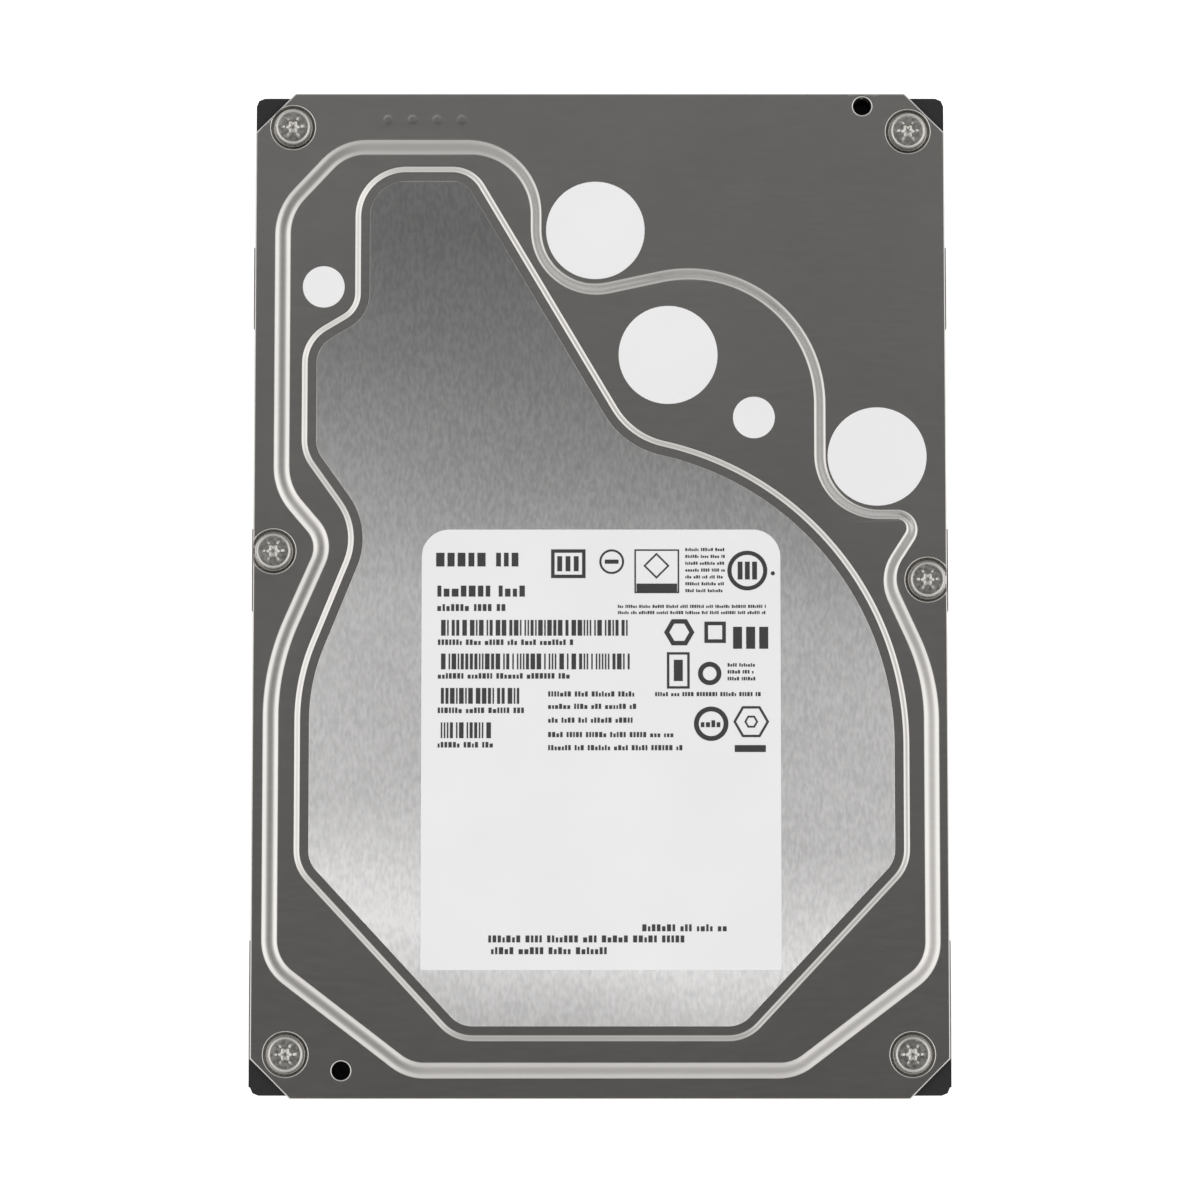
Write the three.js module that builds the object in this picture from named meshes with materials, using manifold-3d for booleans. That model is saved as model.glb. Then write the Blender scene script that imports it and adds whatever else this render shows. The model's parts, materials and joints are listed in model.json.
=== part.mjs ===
// A 3.5-inch hard disk drive, built as it comes apart on a bench.
// Millimetres, +Z up out of the top cover, +Y towards the connector end, origin at the middle of the base.

import * as THREE from 'three';
import { mergeVertices } from 'three/addons/utils/BufferGeometryUtils.js';
import Module from 'manifold-3d';

const wasm = await Module();
wasm.setup();

// ---------------------------------------------------------------- driving dimensions

// envelope
const LENGTH = 147.0;
const WIDTH = 101.6;
const HEIGHT = 26.1;

// clearances
const SEAT = 0.02;             // faces that rest on each other
const RUN = 0.1;               // a turning face to its bearing, per side
const GAP = 0.3;               // loose neighbours
const PAST = 1;                // a cut carries on this far beyond the faces it opens

// top cover
const COVER_T = 0.8;
const COVER_SIDE_INSET = 0.3;  // cover edge inside the side pads
const COVER_CHAMFER = 5.8;
const OUTER_STEP = 1.2;        // raised land above the outer land
const POCKET_DEPTH = 0.45;     // label pocket below the raised land
const POCKET_SLOPE = 1.5;      // width of the slope into the pocket
const PLATE_T = 0.35;          // damping plate
const PLATE_MARGIN = 1.0;      // foot of the pocket slope to the damping plate
const LABEL_T = 0.1;
const LABEL_CORNER_R = 4;      // the label's two upper corners
const LABEL_FOOT_R = 0.3;      // and its two lower ones
const SEAL_T = 0.08;
const DIMPLE_R = 3.5;
const DIMPLE_FLOOR_R = 3.0;
const DIMPLE_DEPTH = 0.5;
const BLANK_BELOW = 4;         // the block the cover is cut from reaches this far below the sheet

// base casting
const CAST_OVERHANG = 0.5;     // cover beyond the casting at each end
const CORNER_R = 1.2;
const FLOOR_UNDER = 3.6;       // underside of the floor over the circuit board
const FLOOR_TOP = 5.8;
const DISK_SKIN = 1.2;         // underside of the casting below the disks
const CHAMBER_R_GAP = 0.7;     // platter edge to the chamber wall
const SIDE_RAIL = 5.9;         // side rail beside the circuit board, from the widest face
const END_RAIL = 1.5;
const DISK_END_RAIL = 3.75;    // end rail below the disks
const BAY_BEFORE_BOARD = 2;    // room in front of the board's -Y edge
const ARC_CLEAR = 1.5;         // the board's arc stays this far outside the casting's round bulge
const BOSS_R = 3.0;            // bosses the circuit board is screwed to
const BOSS_HOLE_SKIN = 1.0;    // floor left above a board screw
const PIVOT_HOLE_SKIN = 0.6;   // floor left below the pivot screw
const MOTOR_GROOVE = { rIn: 12.5, rOut: 17.5, depth: 0.8 };   // round the spindle, on the underside
const NOTCH_WALL = 1.4;        // wall round the connector's notch
const PAD_BELOW_RIM = 1.2;     // top of the side pads below the rim
const GASKET_IN = 0.65;
const GASKET_W = 1.0;

// spindle and disks
const SPINDLE_TO_END = 51.0;   // spindle axis from the -Y end
const PLATTER_R = 47.5;
const PLATTER_BORE = 12.5;
const PLATTER_T = 1.27;
const PLATTER_PITCH = 4.4;
const PLATTER_COUNT = 3;
const PLATTER_LIFT = 3.1;      // floor to the underside of the lowest platter
const SHAFT_R = 2.0;
const SLEEVE_R = 5.0;
const HUB_FLANGE_R = 16.0;
const CLAMP_R = 14.8;
const MAGNET_T = 1.2;
const HUB_WALL = 1.1;
const FLANGE_LIFT = 1.1;       // floor to the underside of the hub's flange
const CUP_BELOW_MID = 1.2;     // ceiling of the hub's cup below the middle of the stack
const SLEEVE_BASE_T = 1.9;     // closed foot of the bearing sleeve
const STATOR_SLOTS = 9;
const STATOR_LIFT = 1.4;       // floor to the underside of the windings
const STATOR_H = 3.4;
const STATOR_AIR = 0.5;        // tooth tips to the rotor magnet
const TOOTH_W = 1.2;
const WINDING_W = 2.5;
const CLAMP_SCREW_HEAD_R = 3.0;

// actuator
const PIVOT = { x: 9.93, y: 57.04 };   // pivot axis from the spindle axis
const ARM_REACH = 51.0;                // pivot to the read-write gap
const ARM_PARK_DEG = -155.5;
const ARM_T = 1.0;
const ARM_TIP_R = 34.0;
const ARM_HALF_AT_PIVOT = 7.0; // half widths of an arm
const ARM_HALF_AT_TIP = 3.2;
const ARM_WINDOW = { from: 12, to: 26, halfIn: 3.0, halfOut: 1.4 };
const BARREL_R = 8.4;
const BARREL_ABOVE_ARM = 0.4;
const PIVOT_R = 5.0;
const SUSPENSION_T = 0.2;
const SUSPENSION_LAP = 6;      // how far a suspension lies on its arm
const HEAD = { length: 1.1, half: 0.5, fly: 0.15 };           // read-write head at a suspension's tip
const COIL_IN = 14.0;
const COIL_OUT = 27.0;
const COIL_T = 2.6;
const COIL_HALF_DEG = 17;
const YOKE_IN = 13.0;
const YOKE_OUT = 33.0;
const YOKE_T = 2.2;
const MAGNET_PLATE_T = 2.4;
const MAGNET_AIR = 0.9;
const YOKE_FROM_DEG = -1;
const YOKE_TO_DEG = 84;
const YOKE_POST_R = 1.8;
const YOKE_FOOT_R = 2.6;
const YOKE_POST_FROM_RIM = 2.2;
const YOKE_POST_IN_DEG = 6;    // outer posts from the yoke's two ends
const LATCH = { x: 31.2, y: -8.6 };    // latch pin from the pivot axis
const LATCH_PIN_R = 1.0;
const LATCH_BOSS_R = 2.4;
const LATCH_PIN_PROUD = 0.6;
const STOP_R = 1.5;            // crash stop
const STOP_FROM_PIVOT = 24;
const STOP_PAST_YOKE_DEG = 6.5;
const RAMP_T = 3.6;            // load ramp, along the arm
const RAMP_SHELF = 0.9;        // its shelves reach this far in over the disks
const FLEX_T = 0.3;
const FLEX_HALF_H = 4;

// circuit board
const BOARD_UNDER = 1.0;
const BOARD_T = 1.2;
const BOARD_START = 71.5;      // -Y edge of the board from the -Y end
const BOARD_ARC_R = 30.0;
const BOARD_CORNER_R = 1.5;
const CHIP_T = 1.0;
const INSULATOR_IN = 1.5;      // insulating foam inside the board's edge
const INSULATOR_BELOW_FLOOR = 0.2;
const INSULATOR_HOLE_R = 3.6;
const CONNECTOR_X = -20.68;
const CONNECTOR_HALF = 21.0;
const TONGUE_Z = 2.9;
const TONGUE_T = 1.2;
const TONGUE_KEY = 1.2;        // the upright key at a tongue's outer end, wide and high
const TONGUE_IN = 1.6;         // tongue from the connector's end
const TONGUE_BACK = 0.6;       // tongue tips behind the mouth
const POWER_TONGUE = 20.6;
const SIGNAL_TONGUE = 10.4;
const CHEEK_T = 1.0;
const CONNECTOR_DEPTH = 5.8;
const CONNECTOR_BEHIND = 4.6;  // body behind the mouth
const NOTCH_TOP = 8.4;

// screws and tapped holes
const SCREW_HEAD_R = 2.65;
const SCREW_HEAD_H = 1.2;
const SCREW_R = 1.25;
const SCREW_LENGTH = 5.0;
const HEAD_BEVEL = { r: 0.5, z: 0.4 };
const TORX_REACH = 0.52;       // six-lobed recess, as a share of the head's radius
const TORX_WAIST = 0.74;       // between the lobes, as a share of its reach
const TORX_DEPTH = 0.7;
const BOARD_SCREW = { headR: 2.4, headH: 0.9, length: 3.4 };
const PIVOT_SCREW = { headR: 3.4, headH: 1.2, grip: 1.2 };
const TAPPED_R = 1.45;         // 6-32 mounting holes
const SIDE_HOLE_Z = 6.35;
const SIDE_HOLE_DEPTH = 3.9;
const BOTTOM_HOLE_DEPTH = 3.4;
const BOTTOM_HOLE_SPREAD = 95.25;
const PAD_LENGTH = 12.0;
const LOCATOR_R = 1.3;
const LOCATOR_DEPTH = 4;

// filters and flex bracket
const BREATHER_R = 3.4;
const BREATHER_H = 4;
const FILTER_T = 3.2;
const BRACKET = { x: -31, y: 18, halfX: 8, halfY: 3.5 };      // middle, from the pivot axis

// facets
const FINE = 48;
const ROUND = 24;
const SMALL = 12;
const CORNER_FINENESS = 1.2;   // smaller makes more facets in a rounded corner

// ---------------------------------------------------------------- places worked out from them

const north = LENGTH / 2;
const south = -LENGTH / 2;
const east = WIDTH / 2;
const west = -WIDTH / 2;

const raisedTop = HEIGHT - SEAL_T - SEAT;
const landTop = raisedTop - OUTER_STEP;
const landUnder = landTop - COVER_T;
const pocketTop = raisedTop - POCKET_DEPTH;
const rimTop = landUnder - DIMPLE_DEPTH;
const boardTop = BOARD_UNDER + BOARD_T;

const spindle = { x: 0, y: south + SPINDLE_TO_END };
const pivot = { x: spindle.x + PIVOT.x, y: spindle.y + PIVOT.y };
const chamberR = PLATTER_R + CHAMBER_R_GAP;
const everyPlatter = Array.from({ length: PLATTER_COUNT }, (_, i) => i);
const platterZ = everyPlatter.map((i) => FLOOR_TOP + PLATTER_LIFT + i * PLATTER_PITCH);
const stackTop = platterZ[PLATTER_COUNT - 1] + PLATTER_T;
const stackMid = (platterZ[0] + stackTop) / 2;

const coverScrews = [
  [west + 5.74, north - 5.04], [east - 5.62, north - 5.64],
  [west + 3.25, spindle.y + 28.37], [east - 3.14, spindle.y + 24.22],
  [west + 5.43, south + 6.41], [east - 5.73, south + 6.41],
];
const locators = [[east - 12.3, north - 1.88], [west + 13.46, south + 4.08]];
const sideHoleY = [north - 28.5, north - 70.11, north - 130.1];
const bottomHoleY = [north - 41.28, north - 85.73, north - 117.48];
const boardScrews = [
  [west + 10.3, north - 14.0], [east - 10.3, north - 14.0],
  [west + 10.3, south + 77.5], [east - 10.3, south + 77.5],
];
const chips = {
  controller_chip: [pivot.x - 3, pivot.y - 4, 14, 14],
  motor_driver_chip: [pivot.x + 17, pivot.y - 10, 9, 9],
  memory_chip: [pivot.x - 24, pivot.y - 6, 8, 12],
};

// Outlines run clockwise seen from above. A corner is [x, y, radius, width of the slope on the next side].
const seal1 = { x: spindle.x - 0.68, y: pivot.y + 18.6 };
const seal3 = { x: east - 10.4, y: spindle.y + 42.26 };
const stepOutline = [
  [west + 3.1, north - 17.1, 10, 2.6], [west + 12.7, north - 6.8, 9, 2.6],
  [seal1.x - 7.82, north - 6.8, 11, 1.7], [seal1.x - 7.82, seal1.y - 9.68, 7.8, 2.0],
  [seal3.x - 7.4, seal1.y - 0.74, 20.1, 1.9], [seal3.x - 7.4, seal3.y - 7.76, 7.7, 1.6],
  [seal3.x + 8.4, seal3.y - 7.76, 3.0, 1.9], [east - 8.23, spindle.y + 24.8, 5, 2.4],
  [east - 1.45, spindle.y + 10.0, 30, 2.6], [east - 1.45, south + 18.6, 8, 2.6],
  [east - 22.3, south + 2.8, 8, 2.6], [west + 22.8, south + 2.8, 8, 2.6],
  [west + 1.75, south + 18.9, 8, 2.6], [west + 1.75, spindle.y + 11.7, 36, 2.6],
  [west + 9.54, spindle.y + 29.45, 3.5, 2.6], [west + 3.1, spindle.y + 37.0, 10, 2.6],
];
const pocketCentre = [
  [west + 15.4, north - 11.45, 7], [pivot.x - 28.68, north - 11.45, 5],
  [pivot.x - 5.36, pivot.y - 11.9, 11], [east - 6.4, spindle.y + 35.9, 45],
  [east - 6.4, south + 33.55, 6], [east - 29.7, south + 8.7, 6],
  [west + 29.8, south + 8.7, 6], [west + 6.9, south + 33.4, 6],
  [west + 6.9, spindle.y + 9.5, 30], [west + 15.76, spindle.y + 31.3, 9],
  [west + 7.7, spindle.y + 42.6, 6], [west + 7.7, pivot.y + 2.26, 6],
  [west + 15.4, pivot.y + 6.86, 4],
];
const chamberOutline = [
  [west + 4.8, north - 14.2, 3], [west + 14.5, north - 4.0, 3],
  [east - 16.8, north - 4.0, 3], [east - 4.8, north - 14.5, 3],
  [east - 4.8, spindle.y + 32.5, 2.5], [east - 9.1, spindle.y + 28.0, 2],
  [east - 9.1, spindle.y + 20.5, 1], [west + 9.1, spindle.y + 20.5, 1],
  [west + 9.1, spindle.y + 32.0, 2], [west + 4.8, spindle.y + 37.0, 2.5],
];
const seals = {
  seal_large_1: [seal1.x, seal1.y, 7.22, landTop],
  seal_large_2: [pivot.x, pivot.y, 7.22, raisedTop],
  seal_large_3: [seal3.x, seal3.y, 7.22, landTop],
  seal_small_1: [west + 10.45, pivot.y + 10.03, 3.05, raisedTop],
  seal_small_2: [seal3.x - 17.98, seal3.y + 5.57, 3.05, raisedTop],
};
const labelBox = { x0: -25.9, x1: 26.2, y0: south + 18.5, y1: spindle.y + 31.4 };

// ---------------------------------------------------------------- materials

function finish(color, roughness, metalness) {
  return new THREE.MeshStandardMaterial({ color, roughness, metalness });
}
const steel = () => finish(0x8f8e8c, 0.4, 0.9);
const brushed = () => finish(0xb4b3b1, 0.5, 0.85);
const blackCast = () => finish(0x1c1c1e, 0.6, 0.3);
const screwSteel = () => finish(0xc4c3bf, 0.3, 0.95);
const aluminium = () => finish(0xbfc1c4, 0.4, 0.9);
const mirror = () => finish(0xe0e0e2, 0.08, 1.0);
const nickel = () => finish(0xc9c6bd, 0.25, 0.95);
const paper = () => finish(0xf0f0ee, 0.8, 0.0);
const rubber = () => finish(0x1d1d1d, 0.9, 0.0);
const foam = () => finish(0x2a2b2d, 0.95, 0.0);
const laminate = () => finish(0x1e5c3a, 0.45, 0.1);
const epoxy = () => finish(0x17181a, 0.5, 0.0);
const blackPlastic = () => finish(0x151516, 0.45, 0.0);
const whitePlastic = () => finish(0xe9e6dc, 0.5, 0.0);
const copper = () => finish(0xb26a3c, 0.35, 0.8);
const polyimide = () => finish(0xc2792b, 0.4, 0.1);
const felt = () => finish(0xf2f2ef, 0.95, 0.0);

// ---------------------------------------------------------------- solids

// Points of a rounded outline. `inset` moves every side inwards, and each side's own slope is added
// `slopes` times.
function rounded(corners, inset = 0, slopes = 0) {
  const count = corners.length;
  const sides = corners.map(([x, y, , slope = 0], i) => {
    const [nextX, nextY] = corners[(i + 1) % count];
    const along = new THREE.Vector2(nextX - x, nextY - y).normalize();
    const move = inset + slope * slopes;
    return { at: new THREE.Vector2(x + along.y * move, y - along.x * move), along, move };
  });
  const points = [];
  corners.forEach(([, , radius], i) => {
    const before = sides[(i + count - 1) % count];
    const after = sides[i];
    const turn = before.along.cross(after.along);
    const gap = after.at.clone().sub(before.at);
    const corner = before.at.clone().addScaledVector(before.along, gap.cross(after.along) / turn);
    const angle = Math.abs(Math.atan2(turn, before.along.dot(after.along)));
    const side = Math.sign(turn);
    const r = Math.max(radius + side * (before.move + after.move) / 2, 0.05);
    const start = corner.clone().addScaledVector(before.along, -r * Math.tan(angle / 2));
    const inward = new THREE.Vector2(-before.along.y, before.along.x);
    const centre = start.clone().add(inward.multiplyScalar(side * r));
    const steps = Math.max(2, Math.ceil((Math.sqrt(radius) * angle) / CORNER_FINENESS));
    for (let k = 0; k <= steps; k += 1) {
      points.push(start.clone().rotateAround(centre, (side * angle * k) / steps));
    }
  });
  return points;
}

function toSolid(geometry) {
  const bare = geometry.clone();
  bare.deleteAttribute('normal');
  bare.deleteAttribute('uv');
  const merged = mergeVertices(bare, 1e-4);
  const vertProperties = new Float32Array(merged.attributes.position.array);
  const corners = merged.index.array;
  const faces = [];
  for (let i = 0; i < corners.length; i += 3) {
    const [a, b, c] = corners.slice(i, i + 3);
    if (a !== b && b !== c && c !== a) faces.push(a, b, c);
  }
  const triVerts = new Uint32Array(faces);
  return new wasm.Manifold(new wasm.Mesh({ numProp: 3, vertProperties, triVerts }));
}

function toGeometry(solid) {
  const mesh = solid.getMesh();
  const geometry = new THREE.BufferGeometry();
  const positions = new Float32Array(mesh.vertProperties);
  geometry.setAttribute('position', new THREE.BufferAttribute(positions, 3));
  geometry.setIndex(new THREE.BufferAttribute(new Uint32Array(mesh.triVerts), 1));
  geometry.computeVertexNormals();
  return geometry;
}

function prism(points, z0, z1, holes = []) {
  const shape = new THREE.Shape(points);
  holes.forEach((hole) => shape.holes.push(new THREE.Path(hole)));
  const options = { depth: z1 - z0, bevelEnabled: false, curveSegments: 1 };
  return toSolid(new THREE.ExtrudeGeometry(shape, options).translate(0, 0, z0));
}

function circle(x, y, r, facets = SMALL) {
  return Array.from({ length: facets }, (_, i) => {
    const a = (i / facets) * 2 * Math.PI;
    return new THREE.Vector2(x + r * Math.cos(a), y + r * Math.sin(a));
  });
}

function disc(x, y, r, z0, z1, facets = SMALL) {
  return prism(circle(x, y, r, facets), z0, z1);
}

function ring(x, y, rIn, rOut, z0, z1, facets = ROUND) {
  return prism(circle(x, y, rOut, facets), z0, z1, [circle(x, y, rIn, facets)]);
}

function box(x0, x1, y0, y1, z0, z1) {
  const geometry = new THREE.BoxGeometry(x1 - x0, y1 - y0, z1 - z0);
  return toSolid(geometry.translate((x0 + x1) / 2, (y0 + y1) / 2, (z0 + z1) / 2));
}

function turned(profile, x, y, facets = ROUND) {
  const points = profile.map(([r, z]) => new THREE.Vector2(r, z));
  if (THREE.ShapeUtils.isClockWise(points)) points.reverse();
  const geometry = new THREE.LatheGeometry(points, facets);
  return toSolid(geometry.rotateX(Math.PI / 2).translate(x, y, 0));
}

// A closed solid between two rings with the same number of points.
function loft(lower, upper, z0, z1) {
  const count = lower.length;
  const positions = [];
  lower.forEach((p) => positions.push(p.x, p.y, z0));
  upper.forEach((p) => positions.push(p.x, p.y, z1));
  const faces = [];
  const clockwise = THREE.ShapeUtils.isClockWise(lower);
  const push = (a, b, c) => (clockwise ? faces.push(a, c, b) : faces.push(a, b, c));
  for (let i = 0; i < count; i += 1) {
    const j = (i + 1) % count;
    push(i, j, count + j);
    push(i, count + j, count + i);
  }
  const cap = (points, first, up) => {
    THREE.ShapeUtils.triangulateShape(points, []).forEach(([a, b, c]) => {
      const area = (points[b].x - points[a].x) * (points[c].y - points[a].y)
        - (points[c].x - points[a].x) * (points[b].y - points[a].y);
      const [p, q] = (area > 0) === up ? [b, c] : [c, b];
      faces.push(first + a, first + p, first + q);
    });
  };
  cap(lower, 0, false);
  cap(upper, count, true);
  const geometry = new THREE.BufferGeometry();
  geometry.setAttribute('position', new THREE.BufferAttribute(new Float32Array(positions), 3));
  geometry.setIndex(faces);
  return toSolid(geometry);
}

// A sector of a ring round (x, y), between two angles in degrees.
function sector(x, y, rIn, rOut, from, to, steps = 10) {
  const at = (r, k) => {
    const a = THREE.MathUtils.degToRad(from + ((to - from) * k) / steps);
    return new THREE.Vector2(x + r * Math.cos(a), y + r * Math.sin(a));
  };
  const outer = Array.from({ length: steps + 1 }, (_, k) => at(rOut, k));
  const inner = Array.from({ length: steps + 1 }, (_, k) => at(rIn, steps - k));
  return [...outer, ...inner];
}

const join = (solids) => solids.reduce((all, solid) => all.add(solid));
const cut = (solid, tools) => tools.reduce((left, tool) => left.subtract(tool), solid);

const drive = new THREE.Group();
function place(name, solid, material, parent = drive) {
  const mesh = new THREE.Mesh(toGeometry(solid), material);
  mesh.name = name;
  parent.add(mesh);
  return mesh;
}

// ---------------------------------------------------------------- base casting

const bodyHalf = east - COVER_SIDE_INSET;
const castNorth = north - CAST_OVERHANG;
const castSouth = south + CAST_OVERHANG;

function rectangle(x0, x1, y0, y1, r) {
  return rounded([[x0, y1, r], [x1, y1, r], [x1, y0, r], [x0, y0, r]]);
}

function chamber(grow, z0, z1) {
  const disks = disc(spindle.x, spindle.y, chamberR + grow, z0, z1, FINE);
  return disks.add(prism(rounded(chamberOutline, -grow), z0, z1));
}

const castOutline = () => rectangle(-bodyHalf, bodyHalf, castSouth, castNorth, CORNER_R);
const bothSides = (make) => [-1, 1].map(make);

// A flat pad on each long side carries every side mounting hole.
function sidePads() {
  return sideHoleY.flatMap((y, i) => bothSides((side) => {
    const [xLow, xHigh] = [side * (bodyHalf - PAST), side * east].sort((a, b) => a - b);
    const yLow = i === sideHoleY.length - 1 ? castSouth + CORNER_R : y - PAD_LENGTH / 2;
    return box(xLow, xHigh, yLow, y + PAD_LENGTH / 2, 0, rimTop - PAD_BELOW_RIM);
  }));
}

function mountingHoles() {
  const bottom = bottomHoleY.flatMap((y) => bothSides((side) => (
    disc((side * BOTTOM_HOLE_SPREAD) / 2, y, TAPPED_R, -PAST, BOTTOM_HOLE_DEPTH))));
  const sides = sideHoleY.flatMap((y) => bothSides((side) => {
    const drill = disc(0, 0, TAPPED_R, -PAST, SIDE_HOLE_DEPTH);
    return drill.rotate([0, -90 * side, 0]).translate([side * east, y, SIDE_HOLE_Z]);
  }));
  return [...bottom, ...sides];
}

function baseCasting() {
  const railIn = east - SIDE_RAIL;
  const bayStart = south + BOARD_START - BAY_BEFORE_BOARD;
  const bulgeR = BOARD_ARC_R - ARC_CLEAR;
  const notchSpan = [CONNECTOR_X - CONNECTOR_HALF - GAP, CONNECTOR_X + CONNECTOR_HALF + GAP];
  const notchBack = north - CONNECTOR_DEPTH - CONNECTOR_BEHIND - GAP;
  const shelf = box(west + PAST, notchSpan[1] + NOTCH_WALL, notchBack - NOTCH_WALL, castNorth - PAST,
    FLOOR_UNDER, NOTCH_TOP + NOTCH_WALL);
  const pinTop = stackMid + COIL_T / 2 + LATCH_PIN_PROUD;
  const grooveTop = DISK_SKIN + MOTOR_GROOVE.depth;
  const shell = join([
    cut(prism(castOutline(), 0, rimTop), [chamber(0, FLOOR_TOP, rimTop + PAST)]),
    ...sidePads(),
    shelf.intersect(prism(castOutline(), 0, rimTop)),
    disc(latch.x, latch.y, LATCH_PIN_R, FLOOR_TOP - PAST, pinTop),
    ...yokePosts.map(([x, y]) => disc(x, y, YOKE_FOOT_R, FLOOR_TOP - PAST, yokeZ - SEAT)),
  ]);
  const boardBay = cut(box(-railIn, railIn, bayStart, castNorth - END_RAIL, -PAST, FLOOR_UNDER), [
    disc(spindle.x, spindle.y, bulgeR, -2 * PAST, FLOOR_UNDER + PAST, ROUND),
    ...boardScrews.map(([x, y]) => disc(x, y, BOSS_R, boardTop + SEAT, FLOOR_UNDER + PAST)),
  ]);
  return cut(shell, [
    boardBay,
    box(-railIn, railIn, castSouth + DISK_END_RAIL, bayStart + SEAT, -PAST, DISK_SKIN),
    disc(spindle.x, spindle.y, bulgeR + SEAT, -PAST, DISK_SKIN, ROUND),
    box(notchSpan[0], notchSpan[1], notchBack, north + PAST, -PAST, NOTCH_TOP),
    disc(spindle.x, spindle.y, SLEEVE_R + SEAT, 0, FLOOR_TOP + PAST, ROUND),
    ring(spindle.x, spindle.y, MOTOR_GROOVE.rIn, MOTOR_GROOVE.rOut, DISK_SKIN - PAST, grooveTop),
    ...coverScrews.map(([x, y]) => disc(x, y, SCREW_R + GAP, rimTop - SCREW_LENGTH, rimTop + PAST)),
    ...locators.map(([x, y]) => disc(x, y, LOCATOR_R, rimTop - LOCATOR_DEPTH, rimTop + PAST)),
    ...boardScrews.map(([x, y]) => disc(x, y, SCREW_R + GAP, 0, FLOOR_TOP - BOSS_HOLE_SKIN)),
    ...mountingHoles(),
    disc(pivot.x, pivot.y, SCREW_R + GAP, FLOOR_UNDER + PIVOT_HOLE_SKIN, FLOOR_TOP + PAST),
  ]);
}

// ---------------------------------------------------------------- cover and what sits on it

const pocketOutline = pocketCentre.map(([x, y, r]) => [x, y, r, 0]);
const pocketTopRing = () => rounded(pocketOutline, -POCKET_SLOPE / 2);
const pocketFootRing = () => rounded(pocketOutline, POCKET_SLOPE / 2);

// The sheet's chamfered edge, counter-clockwise, grown outwards by `grow`.
function coverEdge(grow) {
  const halfX = east - COVER_SIDE_INSET + grow;
  const halfY = north + grow;
  return [[-1, 1], [-1, -1], [1, -1], [1, 1]].flatMap(([signX, signY]) => {
    const onSide = new THREE.Vector2(signX * halfX, signY * (halfY - COVER_CHAMFER));
    const onEnd = new THREE.Vector2(signX * (halfX - COVER_CHAMFER), signY * halfY);
    return signX * signY < 0 ? [onEnd, onSide] : [onSide, onEnd];
  });
}

// Everything below the stamped surface, lowered by `drop`.
function belowSurface(drop, grow) {
  const slab = prism(coverEdge(grow), landUnder - BLANK_BELOW, landTop - drop);
  const raised = loft(rounded(stepOutline), rounded(stepOutline, 0, 1), landTop - drop, raisedTop - drop);
  const slope = loft(pocketFootRing(), pocketTopRing(), pocketTop - drop, raisedTop - drop);
  const above = prism(pocketTopRing(), raisedTop - drop, raisedTop + PAST);
  const dimpleFloor = landTop - drop - DIMPLE_DEPTH;
  const dimple = [
    [0, dimpleFloor], [DIMPLE_FLOOR_R, dimpleFloor], [DIMPLE_R, landTop - drop],
    [DIMPLE_R, HEIGHT + PAST], [0, HEIGHT + PAST],
  ];
  return cut(slab.add(raised), [
    slope.add(above),
    ...coverScrews.map(([x, y]) => turned(dimple, x, y)),
  ]);
}

function topCover() {
  return cut(belowSurface(0, 0), [
    belowSurface(COVER_T, PAST),
    box(west - PAST, east + PAST, south - PAST, north + PAST, -PAST, rimTop + SEAT),
    ...coverScrews.map(([x, y]) => disc(x, y, SCREW_R + GAP, 0, HEIGHT)),
    ...locators.map(([x, y]) => disc(x, y, LOCATOR_R, 0, HEIGHT)),
  ]);
}

function torxCut(x, y, r, z0, z1) {
  const lobes = Array.from({ length: 12 }, (_, i) => {
    const a = (i / 12) * 2 * Math.PI;
    const reach = i % 2 ? r * TORX_WAIST : r;
    return new THREE.Vector2(x + reach * Math.cos(a), y + reach * Math.sin(a));
  });
  return prism(lobes, z0, z1);
}

// A screw seated at height `seat`, its head upwards, or downwards where `up` is -1.
function screw(x, y, seat, headR, headH, length, up = 1) {
  const top = seat + up * headH;
  const tip = seat - up * length;
  const body = turned([
    [0, top], [headR - HEAD_BEVEL.r, top], [headR, seat + up * (headH - HEAD_BEVEL.z)],
    [headR, seat], [SCREW_R, seat], [SCREW_R, tip], [0, tip],
  ], x, y, SMALL);
  const [low, high] = [top - up * TORX_DEPTH, top + up * PAST].sort((a, b) => a - b);
  return body.subtract(torxCut(x, y, headR * TORX_REACH, low, high));
}

// ---------------------------------------------------------------- actuator places

const deg = THREE.MathUtils.degToRad;
const polar = (r, degrees) => [pivot.x + r * Math.cos(deg(degrees)), pivot.y + r * Math.sin(deg(degrees))];
const armMidZ = [
  platterZ[0] - (PLATTER_PITCH - PLATTER_T) / 2,
  ...platterZ.map((z) => z + PLATTER_T + (PLATTER_PITCH - PLATTER_T) / 2),
];
const yokeZ = stackMid - COIL_T / 2 - MAGNET_AIR - MAGNET_PLATE_T - YOKE_T;
const yokePostDeg = [
  YOKE_FROM_DEG + YOKE_POST_IN_DEG, (YOKE_FROM_DEG + YOKE_TO_DEG) / 2, YOKE_TO_DEG - YOKE_POST_IN_DEG,
];
const yokePosts = yokePostDeg.map((a) => polar(YOKE_OUT - YOKE_POST_FROM_RIM, a));
const latch = { x: pivot.x + LATCH.x, y: pivot.y + LATCH.y };
const barrelTop = armMidZ[PLATTER_COUNT] + ARM_T / 2 + BARREL_ABOVE_ARM;
const barrelBottom = armMidZ[0] - ARM_T / 2 - GAP;

// ---------------------------------------------------------------- build: casing

place('base_casting', baseCasting(), blackCast());
place('top_cover', topCover(), steel());
place('cover_gasket', cut(chamber(GASKET_IN + GASKET_W, rimTop + SEAT, landUnder - SEAT), [
  chamber(GASKET_IN, rimTop - PAST, landUnder + PAST),
]), rubber());

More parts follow.
